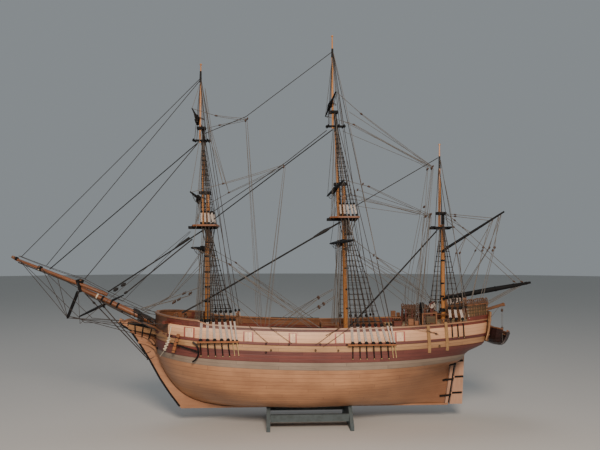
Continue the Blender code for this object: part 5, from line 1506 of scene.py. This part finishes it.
# Single lines as they are seen: middle-plane x and z of each point, how far out of it (port first), radius
seenLines = (
    (0.36, ((78.3, 515.4, 1), (94.9, 444.4, 24), (115.9, 335.7, 52), (136, 236, 60))),
    (0.36, ((116.9, 327.9, 30), (135.4, 237.7, 50), (154.8, 141.7, 58), (157.3, 130.6, 58))),
    (0.34, ((-107.8, 474, 1), (-100, 420, 20), (-94.4, 390.9, 30), (-76.4, 328.7, 58))),
    (0.34, ((-102.2, 462.6, 1), (-96.6, 411.8, 20), (-76.4, 328.7, 58))),
    (0.34, ((229.5, 365.5, 1), (244.1, 292.6, 22), (259, 182, 48), (263.6, 136.5, 53))),
    (0.34, ((138.1, 227, 62), (198.7, 194.1, 40), (224.4, 149.2, 8.5))),
    (0.34, ((126, 223.1, 62), (198.5, 180.6, 40), (206, 132, 57))),
    (0.34, ((124.5, 215.3, 62), (194.2, 158.6, 42), (199, 132, 57))),
    (0.34, ((111.7, 321.1, 56), (199.8, 291.7, 8), (208.6, 285, 3))),
    (0.34, ((116.7, 307.9, 50), (199.8, 286.9, 6))),
    (0.32, ((99.6, 432.1, 30), (201.3, 366.4, 6), (219, 354, 2))),
    (0.32, ((98.7, 417, 30), (201.3, 362.1, 6), (214, 352, 2))),
    (0.32, ((212, 351, 2), (207.6, 293.9, 12), (194.8, 179.1, 34), (192, 125.4, 40))),
    (0.32, ((205, 284, 4), (197.7, 179.1, 30), (196, 126.9, 34))),
    (0.32, ((214, 284, 3), (204, 180, 30), (202, 127.2, 34))),
    (0.36, ((77.6, 181.7, 6.7), (57.1, 169.9, 10), (14.6, 143.6, 20), (-35, 112.6, 24))),
    (0.36, ((77.6, 181.7, 6.7), (57.1, 169.9, 10), (29.2, 147.3, 26), (-8, 111.4, 34))),
    (0.36, ((80.6, 171.5, 6.9), (57.9, 156.7, 10), (38, 143.5, 16), (-6, 113.6, 20))),
    (0.34, ((-108.9, 184.6, 6), (-147.9, 170.2, 8), (-188.3, 155.8, 4))),
    (0.34, ((-120.7, 174, 10), (-143, 167, 8), (-188.3, 155.8, 4))),
    (0.32, ((-105, 236, 110), (-147.9, 172.9, 12), (-186, 153, 4))),
    (0.32, ((-104, 234, 60), (-150, 171, 10), (-183, 151, 4))),
    (0.32, ((-99, 200, 8), (-24, 130, 57))), (0.32, ((-60, 197, 60), (60, 128.4, 58))),
    (0.32, ((-62, 210, 62), (-8, 176, 60), (58, 128.4, 58))),
)
seenBlocks = (   # as seen: x, z, how far out of the middle plane, size
    (-129.7, 176.6, 9, 3.4), (-121.3, 176.6, 9, 3.4), (-143.3, 164.3, 8, 3.6),
    (-136.6, 168.3, 8, 3.6), (57.1, 169.9, 10, 3.6), (57.9, 156.7, 10, 3.6), (64.4, 161.2, 9.2, 3.4),
    (208.6, 284, 3, 3.4), (216.1, 287.2, 3, 3.4), (207.2, 297.8, 3, 3.2), (212, 351.4, 2, 3.2),
    (219.4, 355, 2, 3.2), (119.3, 329.3, 58, 3.2), (111.7, 321.1, 58, 3.2),
    (134.1, 229.3, 62, 3.2), (-43.1, 420.5, 2, 3),
)


def seen(x, z, out):
    # where a place seen on the middle plane lies when it is "out" of that plane, towards the view
    eyeX, eyeY, eyeZ = view["place"]
    share = (-out - eyeY) / -eyeY
    return eyeX + (x - eyeX) * share, -out, eyeZ + (z - eyeZ) * share


def rigFalls():
    bm, blocks = meshes(2)
    for footZ, radius, rows in mastFalls:
        for (x, y, z), (footX, footY) in rows:
            for side in (-1, 1):
                addLine(bm, [(x, side * y, z), (footX, side * footY, footZ)], radius)
    # the far lines and blocks mirror the near ones, which are the ones that are seen
    for radius, points in seenLines:
        for side in (-1, 1):
            addLine(bm, sided([seen(*point) for point in points], -side), radius)
    for x, z, out, size in seenBlocks:
        for side in (-1, 1):
            addBlock(blocks, sided([seen(x, z, out)], -side)[0], (0.5, 0, 1), size)
    ropePiece("mastFalls", bm, "greyBeigeRunning")
    newPiece("fallBlocks", blocks, "boxwoodBlocks", smooth=60)


rigFalls()
print("falls led")


# Fife rails, gallows, pin rails, gratings and the rest of the waist
pinRails = ((-100, -56, 7), (88, 148, 9), (214, 246, 5))    # from, to, pins
fifeRails = (    # from, to, half width, top
    (-112, -90, 14, 139), (60, 82, 13, 137), (219, 237, 8.5, 150.5))
gallows = {"x": -55, "half": 13, "top": 150}
ladders = {"feet": ((-100, 1), (157, -1)), "sides": (24, 33), "steps": 5}    # x, which way down
hatches = ((18, 48, 13, None), (-38, -22, 9, -30), (120, 136, 9, 128))
gratingForm = {"step": 2.5, "hatchZ": 121.3, "lift": 3}
stowedRope = {"from": -9.3, "step": 3.95, "count": 18, "in": 2.6, "lift": 4.4}


def addPost(bm, x, y, low, high, wide):
    addBar(bm, (x, y, low), (x, y, high), wide, wide, 0.3)
    addBar(bm, (x, y, high - 0.2), (x, y, high + 1.2), wide * 1.25, wide * 1.25, 0.35)


def railY(x):
    return hullHalf(x, sheer(x) + 3)


def deckTop(x):
    raisedDeck = x > 158 or x < -101
    return sheer(x) - (3 if raisedDeck else hullForm["deckBelow"])


def makeRails(wood, pins):
    for x0, x1, half, top in fifeRails:
        low = deckTop((x0 + x1) / 2)
        for y in (-half, half):
            for x in (x0, x1):
                addPost(wood, x, y, low, top, 2.4)
            addBar(wood, (x0 - 1, y, top - 3), (x1 + 1, y, top - 3), 2, 1.6, 0.3)
        addBar(wood, (x0, -half - 1.5, top - 2.8), (x0, half + 1.5, top - 2.8), 2, 1.6, 0.3)
        for k in range(7):
            y = -half + 2 * half * (k + 0.5) / 7
            addRod(pins, (x0, y, top - 6.5), (x0, y, top + 0.5), 0.45, 0.6, 6)
    for x0, x1, count in pinRails:
        for side in (-1, 1):
            ends = [(x, side * (railY(x) - 4.2), sheer(x) + 0.2) for x in (x0, x1)]
            addBar(wood, *ends, 2.6, 1.2, 0.25)
            for k in range(count):
                x = x0 + (x1 - x0) * (k + 0.5) / count
                y, z = side * (railY(x) - 4.2), sheer(x)
                addRod(pins, (x, y, z - 3.4), (x, y, z + 3), 0.45, 0.65, 6)


def makeGallowsAndLadders(wood):
    x, half, top = gallows["x"], gallows["half"], gallows["top"]
    for y in (-half, half):
        addPost(wood, x, y, deckTop(x), top, 3)
        addBar(wood, (x, y, top - 4), (x + 6, y, top - 14), 1.6, 2, 0.2)
    addBar(wood, (x, -half - 3.5, top - 2), (x, half + 3.5, top - 2), 2.6, 3, 0.5)
    for x, away in ladders["feet"]:
        high, low = deckTop(x - 3 * away), deckTop(x + 8 * away)
        for side in (-1, 1):
            ends = [side * y for y in ladders["sides"]]
            for y in ends:
                addBar(wood, (x + away, y, high + 0.4), (x + away * 9, y, low + 0.2), 0.9, 2.6, 0.15)
            for k in range(ladders["steps"]):
                share = (k + 0.7) / 5.4
                stepX, stepZ = x + away * (1 + 8 * share), high + (low - high) * share
                addBar(wood, (stepX, ends[0], stepZ), (stepX, ends[1], stepZ), 2.4, 0.7, 0.1)


def makeGratings(wood, gratings, dark):
    step = gratingForm["step"]
    for x0, x1, half, middle in hatches:
        z = gratingForm["hatchZ"] if middle is None else deckTop(middle) + gratingForm["lift"]
        for y in (-half, half):
            addBar(wood, (x0 - 0.8, y, z - 2), (x1 + 0.8, y, z - 2), 1.6, 6, 0.2)
        for x in (x0, x1):
            addBar(wood, (x, -half, z - 2), (x, half, z - 2), 1.6, 6, 0.2)
        for k in range(int((x1 - x0) / step)):
            x = x0 + 1.6 + step * k
            addBar(gratings, (x, -half, z + 0.3), (x, half, z + 0.3), 1.1, 0.8, 0.1)
        for k in range(int(2 * half / step)):
            y = -half + 1.5 + step * k
            addBar(gratings, (x0, y, z + 0.1), (x1, y, z + 0.1), 1.1, 0.6, 0.1)
        # a black sheet under each grating: painted shade of the hold below
        addBar(dark, (x0 + 0.6, 0, z - 1.6), (x1 - 0.6, 0, z - 1.6), 2 * half - 1, 1, 0.1)


def makeMachines(wood, dark):
    # windlass on the foredeck, capstan and pumps abaft the mainmast
    addRod(wood, (-77, -14, 124.5), (-77, 14, 124.5), 3.2)
    for y in (-14.5, 0, 14.5):
        addBar(wood, (-77, y - 1, 125), (-77, y + 1, 125), 9, 9.5, 0.6)
    z = deckTop(144)
    addRod(wood, (144, 0, z), (144, 0, z + 7), 4.4, 2.8, 12)
    addRod(wood, (144, 0, z + 7), (144, 0, z + 9.6), 4.2, 3.8, 12)
    z = deckTop(104)
    for y in (-7, 7):
        addRod(dark, (104, y, z), (104, y, z + 12), 1.2, sides=10)
        addBar(dark, (98, y, z + 15), (107, y, z + 11), 0.8, 1.2, 0.1)


def dressWaist():
    wood, pins, gratings, dark = meshes(4)
    makeRails(wood, pins)
    makeGallowsAndLadders(wood)
    makeGratings(wood, gratings, dark)
    makeMachines(wood, dark)
    # black line of stowed ropes inside the waist's cap rails
    for side in (-1, 1):
        for k in range(stowedRope["count"]):
            ends = []
            for step in (k, k + 1.05):
                x = stowedRope["from"] + stowedRope["step"] * step
                ends.append((x, side * (railY(x) - stowedRope["in"]), sheer(x) + stowedRope["lift"]))
            addBar(dark, *ends, 1.6, 2.8, 0.3)
    newPiece("deckFittings", wood, "walnutFittings")
    newPiece("belayingPins", pins, "cherryRails")
    newPiece("hatchGratings", gratings, "limeTanTimber")
    newPiece("deckIronAndShade", dark, "blackStainedWood")


dressWaist()
print("waist dressed")


# Quarterdeck: nets in racks on the rails, lockers, coils, quarter boards, the wheel's end
rack = {"from": 176, "to": 211, "half": 12, "top": 26, "mesh": 2.6, "lean": 9,
        "ropes": ((0, 1), (-6.5, 0.5), (-13, 0.5))}    # below the top, radius
lockers = {"tan": ((172.5, 7, 5.2, 8.6), (180, 5, 5.2, 5.6)),    # x, length, above the sheer, height
           "olive": ((199.5, 13, 6.6, 9),)}
lockerRail = {"posts": (187.5, 206), "ends": (186.5, 207), "low": 5, "top": 19.4}
quarterBoard = {"from": 249.4, "step": 3.6, "count": 8, "low": 10.5, "high": 24}
quarterRails = (   # above the sheer, width, depth, how far in, mesh
    (7.6, 0.9, 5.4, 0, "wood"), (14.5, 0.9, 1, 0, "olive"), (18.5, 0.9, 1, 0, "olive"),
    (22.5, 0.9, 1, 0, "olive"), (25.3, 3.2, 1.7, 0.8, "tan"))
mizzenHanks = {"at": (209, -18, 157.6), "step": (2.4, 6), "count": 7, "size": 2.3, "radius": 0.55}
boomHanks = {"at": (240, -2.1, 164.2), "step": (2.4, 0.6, 0.43), "count": 8, "size": 3.9, "radius": 0.65}


def addCoil(bm, centre, size, radius, turns=3, flat=0):
    # a hank of rope: loops of slightly different sizes, hung by their top
    for k in range(turns):
        wide = size * (0.5 + 0.12 * shake.random())
        tall = size * (0.9 + 0.25 * shake.random())
        x = centre[0] + (shake.random() - 0.5) * size * 0.3
        y = centre[1] + (k - turns / 2) * radius * 1.4
        angles = [2 * math.pi * n / 10 for n in range(11)]
        addLine(bm, [(x + wide * math.cos(a), y + flat * math.sin(a), centre[2] + tall * math.sin(a))
                     for a in angles], radius)


def makeRack(side, wood, nets):
    start, end, y = rack["from"], rack["to"], side * rack["half"]
    low, high = deckTop(190), deckTop(190) + rack["top"]
    for k in range(5):
        x = start + (end - start) * k / 4
        addBar(wood, (x, y, low), (x, y, high - 2), 1.5, 1.5, 0.2)
    for lift, radius in rack["ropes"]:
        addLine(nets, sagging((start - 1, y, high + lift), (end + 1, y, high + lift), 1.2, 7), radius)
    for k in range(int((end - start - rack["lean"]) / rack["mesh"]) + 1):
        x = start + rack["mesh"] * k
        for lean in (0, rack["lean"]):
            addLine(nets, [(x + lean, y - side * 0.6, low + 3),
                           (x + rack["lean"] - lean, y + side * 0.6, high - 0.5)], 0.42)
    for k in range(9):
        x = start + 1 + 4.1 * k
        addCoil(nets, (x, y - side * 2.5, high - 1 + 2 * shake.random()), 3.2, 0.6, 3, 1.5)
        addCoil(nets, (x, y + side * 1.5, low + 8 + 6 * shake.random()), 3, 0.6, 2, 0.8)


def makeLockers(side, parts):
    for name, rows in lockers.items():
        for x, long, low, tall in rows:
            y, z = side * (railY(x) - 4.5), sheer(x) + low + tall / 2
            addBar(parts[name], (x - long / 2, y, z), (x + long / 2, y, z), 3, tall, 0.4)
    for x in lockerRail["posts"]:
        y = side * (railY(x) - 1.4)
        addBar(parts["tan"], (x, y, sheer(x) + lockerRail["low"]), (x, y, sheer(x) + 19), 1.8, 1.8, 0.3)
    ends = [(x, side * (railY(x) - 1.4), sheer(x) + lockerRail["top"]) for x in lockerRail["ends"]]
    addBar(parts["tan"], *ends, 2, 1.5, 0.3)


def makeQuarterBoard(side, parts):
    # dark plank below, olive lattice on its back, tan top rail
    olive, step = parts["olive"], quarterBoard["step"]
    for k in range(quarterBoard["count"]):
        x0, x1 = (quarterBoard["from"] + step * n for n in (k, k + 1))
        for x, wide in ((x0, 1.3), ((x0 + x1 - 0.5) / 2, 0.9)):
            low, high = sheer(x) + quarterBoard["low"], sheer(x) + quarterBoard["high"]
            yLow, yHigh = hullHalf(x, low), hullHalf(x, high)
            addBar(olive, (x, side * (yLow + 0.6), low), (x, side * (yHigh + 0.6), high), 1, wide, 0.2)
            addBar(olive, (x, side * (yLow + 0.3), low - 0.6), (x, side * (yHigh + 0.3), high), 0.8, 2.5, 0.1)
    for lift, wide, deep, inward, name in quarterRails:
        row = [(249 + 3.4 * k, sheer(249 + 3.4 * k) + lift) for k in range(10)]
        for (xa, za), (xb, zb) in zip(row, row[1:]):
            ya, yb = hullHalf(xa, za) + 0.6 - inward, hullHalf(xb, zb) + 0.6 - inward
            addBar(parts[name], (xa, side * ya, za), (xb + 0.3, side * yb, zb), wide, deep, 0.2)


def hangCoils(side, nets):
    # coils stowed on the quarter boards, and more on the rail before them
    for k in range(12):
        x = 247 + 2.8 * k
        y = side * (hullHalf(x, sheer(x) + 20) - 1)
        addCoil(nets, (x, y, sheer(x) + 28.5 + 1.8 * shake.random()), 2.6, 0.6, 3, 1.2)
    for k in range(4):
        x = 213 + 3.4 * k
        addCoil(nets, (x, side * (railY(x) - 3.6), sheer(x) + 8), 2.4, 0.5, 2)


def hangHanks(wood, cream, hung, tarred):
    # hanks on posts and a rail before the mizzen
    (x0, y0, z0), (stepX, stepY) = mizzenHanks["at"], mizzenHanks["step"]
    for k in range(mizzenHanks["count"]):
        x, y = x0 + stepX * k, y0 + stepY * k
        addCoil(cream, (x, y, z0 + 2.4 * shake.random()), mizzenHanks["size"], mizzenHanks["radius"])
        addBar(wood, (x, y, deckTop(215)), (x, y, 163.5), 1.4, 1.4, 0.2)
    addBar(wood, (208, -20, 162), (224.5, 20, 162), 2.2, 1.6, 0.3)
    # hanks hung under the boom near its jaws, which swing with it
    (x0, y0, z0), (stepX, stepY, stepZ) = boomHanks["at"], boomHanks["step"]
    for k in range(boomHanks["count"]):
        spot = (x0 + stepX * k, y0 + stepY * k, z0 + stepZ * k + 0.8 * shake.random())
        addCoil(tarred if k % 2 else hung, spot, boomHanks["size"], boomHanks["radius"])


def makeSkylight(wood, tan, black):
    # a dark locker on its post, the skylight with barred panes, and the binnacle
    addBar(black, (192.8, -24, 161.5), (198, -24, 161.5), 5, 7.6, 0.5)
    addBar(black, (195.4, -24, 158), (195.4, -24, deckTop(195)), 2.4, 2.4, 0.3)
    addBar(wood, (160.5, 0, 134.5), (171.5, 0, 134.5), 14, 8, 0.5)
    for side in (-1, 1):
        for k in range(5):
            x = 161.2 + 2.4 * k
            addBar(tan, (x, side * 7.4, 138), (x, side * 0.6, 142), 0.8, 0.7, 0.1)
        addBar(black, (161, side * 4, 139.9), (171, side * 4, 139.9), 7.2, 0.5, 0.1)
    addBar(tan, (160.5, 0, 142.3), (171.5, 0, 142.3), 1.6, 1.2, 0.2)
    addBar(wood, (236.5, 0, 140.5), (240.5, 0, 140.5), 8, 9, 0.4)


def dressQuarterdeck():
    wood, nets, tan, cream, black, olive, hung, tarred = meshes(8)
    parts = {"wood": wood, "tan": tan, "olive": olive}
    for side in (-1, 1):
        makeRack(side, wood, nets)
        makeLockers(side, parts)
        makeQuarterBoard(side, parts)
        hangCoils(side, nets)
    hangHanks(wood, cream, hung, tarred)
    makeSkylight(wood, tan, black)
    newPiece("quarterdeckWood", wood, "mahoganyPlanks")
    newPiece("quarterdeckRails", tan, "cherryRails")
    newPiece("quarterdeckBlack", black, "blackStainedWood")
    newPiece("quarterBoardLattice", olive, "oliveRailing")
    ropePiece("stowedNets", nets, "brownLine")
    ropePiece("stowedHanks", cream, "paleLanyard")
    ropePiece("boomHanks", hung, "paleLanyard", "boom")
    ropePiece("boomHanksTarred", tarred, "darkBrownShroud", "boom")


dressQuarterdeck()
print("quarterdeck dressed")


# Stern: barred windows in frames and mouldings across it
stern = {"windows": (-29, -14.5, 14.5, 29, 0), "half": 5, "glass": (127.6, 139.4),
         "bars": ((127, 1.3), (131.3, 0.6), (135.6, 0.6), (140, 1.3)),    # height, thickness
         "mouldings": ((117, 2.6, 1), (124, 1.8, 1), (143.4, 1.8, 1), (150, 2, 0.97))}


def sternPlace(y, z, proud):
    return sternX(z) + 2.8 + proud, y, z


def makeWindows():
    frames, panes, tan = meshes(3)
    half = stern["half"]
    for y in stern["windows"]:
        low, high = stern["glass"]
        # dark panes: painted shade of the cabin behind the glass
        addBar(panes, sternPlace(y, low, 0.1), sternPlace(y, high, 0.1), 0.7, 2 * half, 0.1)
        for shift, deep in ((-half, 1), (0, 0.6), (half, 1)):
            ends = [sternPlace(y + shift, z, 0.5) for z in (127, 140)]
            addBar(frames, *ends, 1, deep, 0.15)
        for z, wide in stern["bars"]:
            ends = [sternPlace(y + shift, z, 0.5) for shift in (-half - 0.6, half + 0.6)]
            addBar(frames, *ends, wide, 1, 0.1)
    for z, deep, share in stern["mouldings"]:
        reach = hullHalf(271.5, min(z, 150)) * share
        addBar(tan, sternPlace(-reach, z, 0.4), sternPlace(reach, z, 0.4), deep, 1, 0.2)
    # corner posts, seen as a tan upright from the side
    for side in (-1, 1):
        for k in range(6):
            ends = []
            for z in (117 + 6.2 * k, 117 + 6.2 * (k + 1.04)):
                ends.append((sternX(z) + 0.6, side * (hullHalf(271.5, min(z, 150)) + 1.3), z))
            addBar(tan, *ends, 4.6, 1.5, 0.3)
    newPiece("sternFrames", frames, "mahoganyFrames")
    newPiece("sternPanes", panes, "darkPanes")
    newPiece("sternMouldings", tan, "limeTanTimber")


# The boat on its davits: edge strips, thwarts and ribs, all leaning with it
boat = {"middle": (302.5, 126.2), "lean": 18, "half": 15.5, "long": 42, "deep": 18.8, "power": 2.6,
        "thwarts": (-26, -10, 8, 25)}
davits = {"y": 34, "beam": (((267, 157.2), (285.4, 157.2)), ((284.6, 157.2), (304.2, 163))),
          "blocks": (155, 131), "fallX": 302.5}


def inBoat(across, y, up):
    tilt = math.radians(boat["lean"])
    (x, z), c, s = boat["middle"], math.cos(tilt), math.sin(tilt)
    return x + across * c + up * s, y, z - across * s + up * c


def boatWidth(share):
    return (1 - abs(share) ** boat["power"]) ** 0.7


def makeBoat():
    gunwale, ribs = meshes(2)
    for side in (-1, 1):
        row = []
        for k in range(17):
            share = -0.95 + 1.9 * k / 16
            across = side * (boat["half"] * boatWidth(share) - 0.5)
            row.append(inBoat(across, boat["long"] * share / 0.96, 3 * share * share + 0.3))
        for a, b in zip(row, row[1:]):
            addBar(gunwale, a, between(a, b, 1.05), 2.2, 3, 0.3)
    for y in boat["thwarts"]:
        half = 15 * boatWidth(y / 43.75)
        addBar(gunwale, inBoat(-half, y, -2.6), inBoat(half, y, -2.6), 4.2, 0.9, 0.2)
    for k in range(11):
        y = -33 + 6.6 * k
        share = y / boat["long"] * 0.96
        wide, deep = boatWidth(share) * (boat["half"] - 1.9), boat["deep"] - 1.8 - 5 * abs(share) ** 3
        rib = []
        for n in range(9):
            angle = math.pi * (n / 8 - 0.5)
            rib.append(inBoat(wide * math.copysign(abs(math.sin(angle)) ** 0.75, angle), y,
                              3 * share * share - deep * abs(math.cos(angle)) ** 0.8))
        for a, b in zip(rib, rib[1:]):
            addBar(ribs, a, between(a, b, 1.04), 0.9, 0.7, 0.1)
    newPiece("boatGunwale", gunwale, "cherryRails")
    newPiece("boatRibs", ribs, "boatPlanks")


def makeDavits():
    blocks = bmesh.new()
    x = davits["fallX"]
    for side, word in ((-1, "Port"), (1, "Starboard")):
        y = side * davits["y"]
        davit, falls = meshes(2)
        for (xa, za), (xb, zb) in davits["beam"]:
            addBar(davit, (xa, y, za), (xb, y, zb), 3.6, 3.6, 0.5)
        addBar(davit, (303, y, 162.4), (306, y, 163.3), 4.2, 4.6, 0.6)
        beam = newPiece("davitBeam" + word, davit, "walnutFittings")
        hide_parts("davit_" + word.lower())
        for z in davits["blocks"]:
            addBlock(blocks, (x, y, z), (0, 0, 1), 3.4)
        for shift in (-0.9, 0.9):
            addLine(falls, [(x + shift, y, 161), (x + shift * 0.8, y, 131)], 0.19)
        addLine(falls, [(x, y, 131), (x, y, 113)], 0.3)
        addLine(falls, [(299, y, 160.5), (289, y, 148), (284.5, y - side * 2, 141)], 0.34)
        ropePiece("davitFalls" + word, falls, "greyBeigeRunning")
    newPiece("davitBlocks", blocks, "boxwoodBlocks", smooth=60)


makeWindows()
makeBoat()
makeDavits()
print("stern dressed")


# Bowsprit: end ring, pale sheaves and black eyes, and lines made up over its heel
bowspritTrim = {
    "sheaves": ((-323, 213.4), (-267.5, 195.5)), "cap": ((-267.1, 0, 179.5), (-272.6, 0, 196.2)),
    "lashings": (-195, -177, -173.5, -170, -166.5), "lines": 9, "from": -197,
    "blocks": ((-196, 5), (-188, -5.5), (-180, 5.5), (-174, -6)),
}
belfry = {"x": -103.5, "half": 4, "low": 137, "top": 150,
          "bell": ((142.4, 2.6), (145.6, 1.8), (147.6, 0.5))}    # height, radius
bitts = ((-140, 8.5), (-128, 12))    # x, half the distance between its posts


def dressBowsprit():
    pale, black, rope = meshes(3)
    addRod(pale, (-357, 0, 225.9), (-360.5, 0, 227.4), 2.3, 1.9, 14)
    addRod(black, (-355.6, 0, 225.2), (-352.6, 0, 223.9), 2.6, sides=16)
    for x, z in bowspritTrim["sheaves"]:
        for y in (-3.4, 3.4):
            addBlock(pale, (x, y, z), (1, 0, 0.4), 2.9)
        addRod(black, (x + 2.4, 0, z - 2.4), (x - 2.4, 0, z - 0.6), 3.1, sides=16)
    # the cap that holds the jibboom, stained black over its brown block
    addBar(black, *bowspritTrim["cap"], 6.9, 3.9, 0.3)
    angles = [math.radians(30 * k) for k in range(13)]
    for x in bowspritTrim["lashings"]:
        z = bowspritZ(x)
        addLine(rope, [(x, 4.7 * math.sin(a), z + 4.7 * math.cos(a)) for a in angles], 0.75)
    for k in range(bowspritTrim["lines"]):
        y = -7 + 1.75 * k
        lift = 5.2 - 0.055 * y * y
        points = []
        for n in range(7):
            x = bowspritTrim["from"] + 1.2 * (k % 3) + 4.9 * n
            out = y * (0.6 + 0.1 * n) + 0.8 * shake.random()
            points.append((x, out, bowspritZ(x) + lift + 1.6 * shake.random() - 0.3 * n))
        addLine(rope, points, 0.62)
    for x, y in bowspritTrim["blocks"]:
        addBlock(rope, (x, y, bowspritZ(x) + 3.4), (1, 0, -0.4), 4.4)
    newPiece("bowspritSheaves", pale, "limeRail")
    newPiece("bowspritEyes", black, "blackStainedWood")
    ropePiece("bowspritLashings", rope, "tarredStay")


def dressForecastle():
    # belfry and its bell, and bitts for the cable
    wood, brass = meshes(2)
    x, half, top = belfry["x"], belfry["half"], belfry["top"]
    for y in (-half, half):
        addPost(wood, x, y, belfry["low"], top, 1.8)
    addBar(wood, (x, -half - 1.6, top + 0.4), (x, half + 1.6, top + 0.4), 3.2, 1.8, 0.4)
    for (z0, r0), (z1, r1) in zip(belfry["bell"], belfry["bell"][1:]):
        addRod(brass, (x, 0, z0), (x, 0, z1), r0, r1, 16)
    for x, half in bitts:
        z = deckTop(x)
        for y in (-half, half):
            addPost(wood, x, y, z, z + 10, 2.6)
        addBar(wood, (x + 1.6, -half - 3, z + 6), (x + 1.6, half + 3, z + 6), 2, 2.4, 0.4)
    newPiece("forecastleFittings", wood, "walnutFittings")
    newPiece("shipsBell", brass, "oldBrass")


dressBowsprit()
dressForecastle()
print("bowsprit dressed")


# A black strip down the front of the cutwater, as (x, z): painted shade on the front edge, which faces away
# from the light
stemShadeLine = ((-215.2, 139), (-211.2, 134), (-201.3, 128.2), (-187.9, 109), (-174.2, 87.3),
            (-160.5, 62.8), (-146.9, 42.5), (-133.3, 24.6))


def paintStemShade():
    bm = bmesh.new()
    for (xa, za), (xb, zb) in zip(stemShadeLine, stemShadeLine[1:]):
        addBar(bm, (xa + 0.5, 0, za), (xb + 0.5, 0, zb), 5.9, 2.6, 0.4)
    newPiece("stemShadeStrip", bm, "blackStainedWood")


paintStemShade()
print("stem faced")


# Boom in place of its solid: a fuller black spar, jaws round the mast, bands and cleats. Shares are of
# its length, from the jaws
boomShape = {"heel": (236.4, 169.6), "end": (357.7, 190.7),
             "girth": ((0, 2.3), (0.08, 2.6), (0.25, 3.3), (0.5, 3.5), (0.75, 2.9), (0.92, 2.1),
                       (1, 1.5)),
             "bands": ((0.1, 2.9), (0.2, 3.4), (0.34, 3.7), (0.58, 3.7), (0.8, 3), (0.95, 2.2)),
             "jaw": ((246, 2, 171.4), (240, 4, 170.4), (235, 5, 169.4), (230, 4.9, 168.6)),
             "cleats": (0.45, 0.7, 0.86)}


def onBoom(share):
    (x0, z0), (x1, z1) = boomShape["heel"], boomShape["end"]
    return x0 + (x1 - x0) * share, 0, z0 + (z1 - z0) * share


def makeBoom():
    bm = bmesh.new()
    for (s0, r0), (s1, r1) in zip(boomShape["girth"], boomShape["girth"][1:]):
        addRod(bm, onBoom(s0), onBoom(s1), r0, r1, 18)
    for share, r in boomShape["bands"]:
        addRod(bm, onBoom(share - 0.006), onBoom(share + 0.006), r, sides=18)
    for side in (-1, 1):
        addBentBar(bm, sided(boomShape["jaw"], side), 2.2, 3, 3)
        for share in boomShape["cleats"]:
            x, _, z = onBoom(share)
            addBar(bm, (x - 2.2, side * 2.6, z - 0.4), (x + 2.2, side * 2.6, z + 0.4), 1.1, 1.1, 0.25)
    boom = newPiece("boomSpar", bm, "blackStainedWood", "boom")
    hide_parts("boom")


makeBoom()
print("boom made")


# Light and ground
studio = {"floor": "BDBBB7", "air": "C2CACF", "airStrength": 0.45}


def addLamp(name, place, target, size, power, colour):
    data = bpy.data.lights.new(name, "AREA")
    data.shape = "DISK"
    data.size = size
    data.energy = power
    data.color = srgb(colour)[:3]
    lamp = bpy.data.objects.new(name, data)
    bpy.context.scene.collection.objects.link(lamp)
    lamp.location = place
    lamp.rotation_euler = (Vector(target) - Vector(place)).to_track_quat("-Z", "Y").to_euler()


def setStudio():
    bm = bmesh.new()
    bmesh.ops.create_circle(bm, cap_ends=True, segments=64, radius=6)
    mesh = bpy.data.meshes.new("floor")
    bm.to_mesh(mesh)
    bm.free()
    floor = bpy.data.objects.new("floor", mesh)
    bpy.context.scene.collection.objects.link(floor)
    finish, shader = newFinish("paleFloor")
    shader.inputs["Base Color"].default_value = srgb(studio["floor"])
    shader.inputs["Roughness"].default_value = 0.9
    mesh.materials.append(finish)
    world = bpy.data.worlds.new("softAir")
    bpy.context.scene.world = world
    world.use_nodes = True
    air = world.node_tree.nodes["Background"]
    air.inputs["Color"].default_value = srgb(studio["air"])
    air.inputs["Strength"].default_value = studio["airStrength"]
    addLamp("keyLamp", (0.06, -1.02, 0.66), (0.02, 0, 0.16), 0.3, 14, "FFECDA")
    addLamp("topLamp", (-0.3, 0.4, 1.8), (0, 0, 0.2), 1, 5, "F2F6FF")


setStudio()
print("studio set")
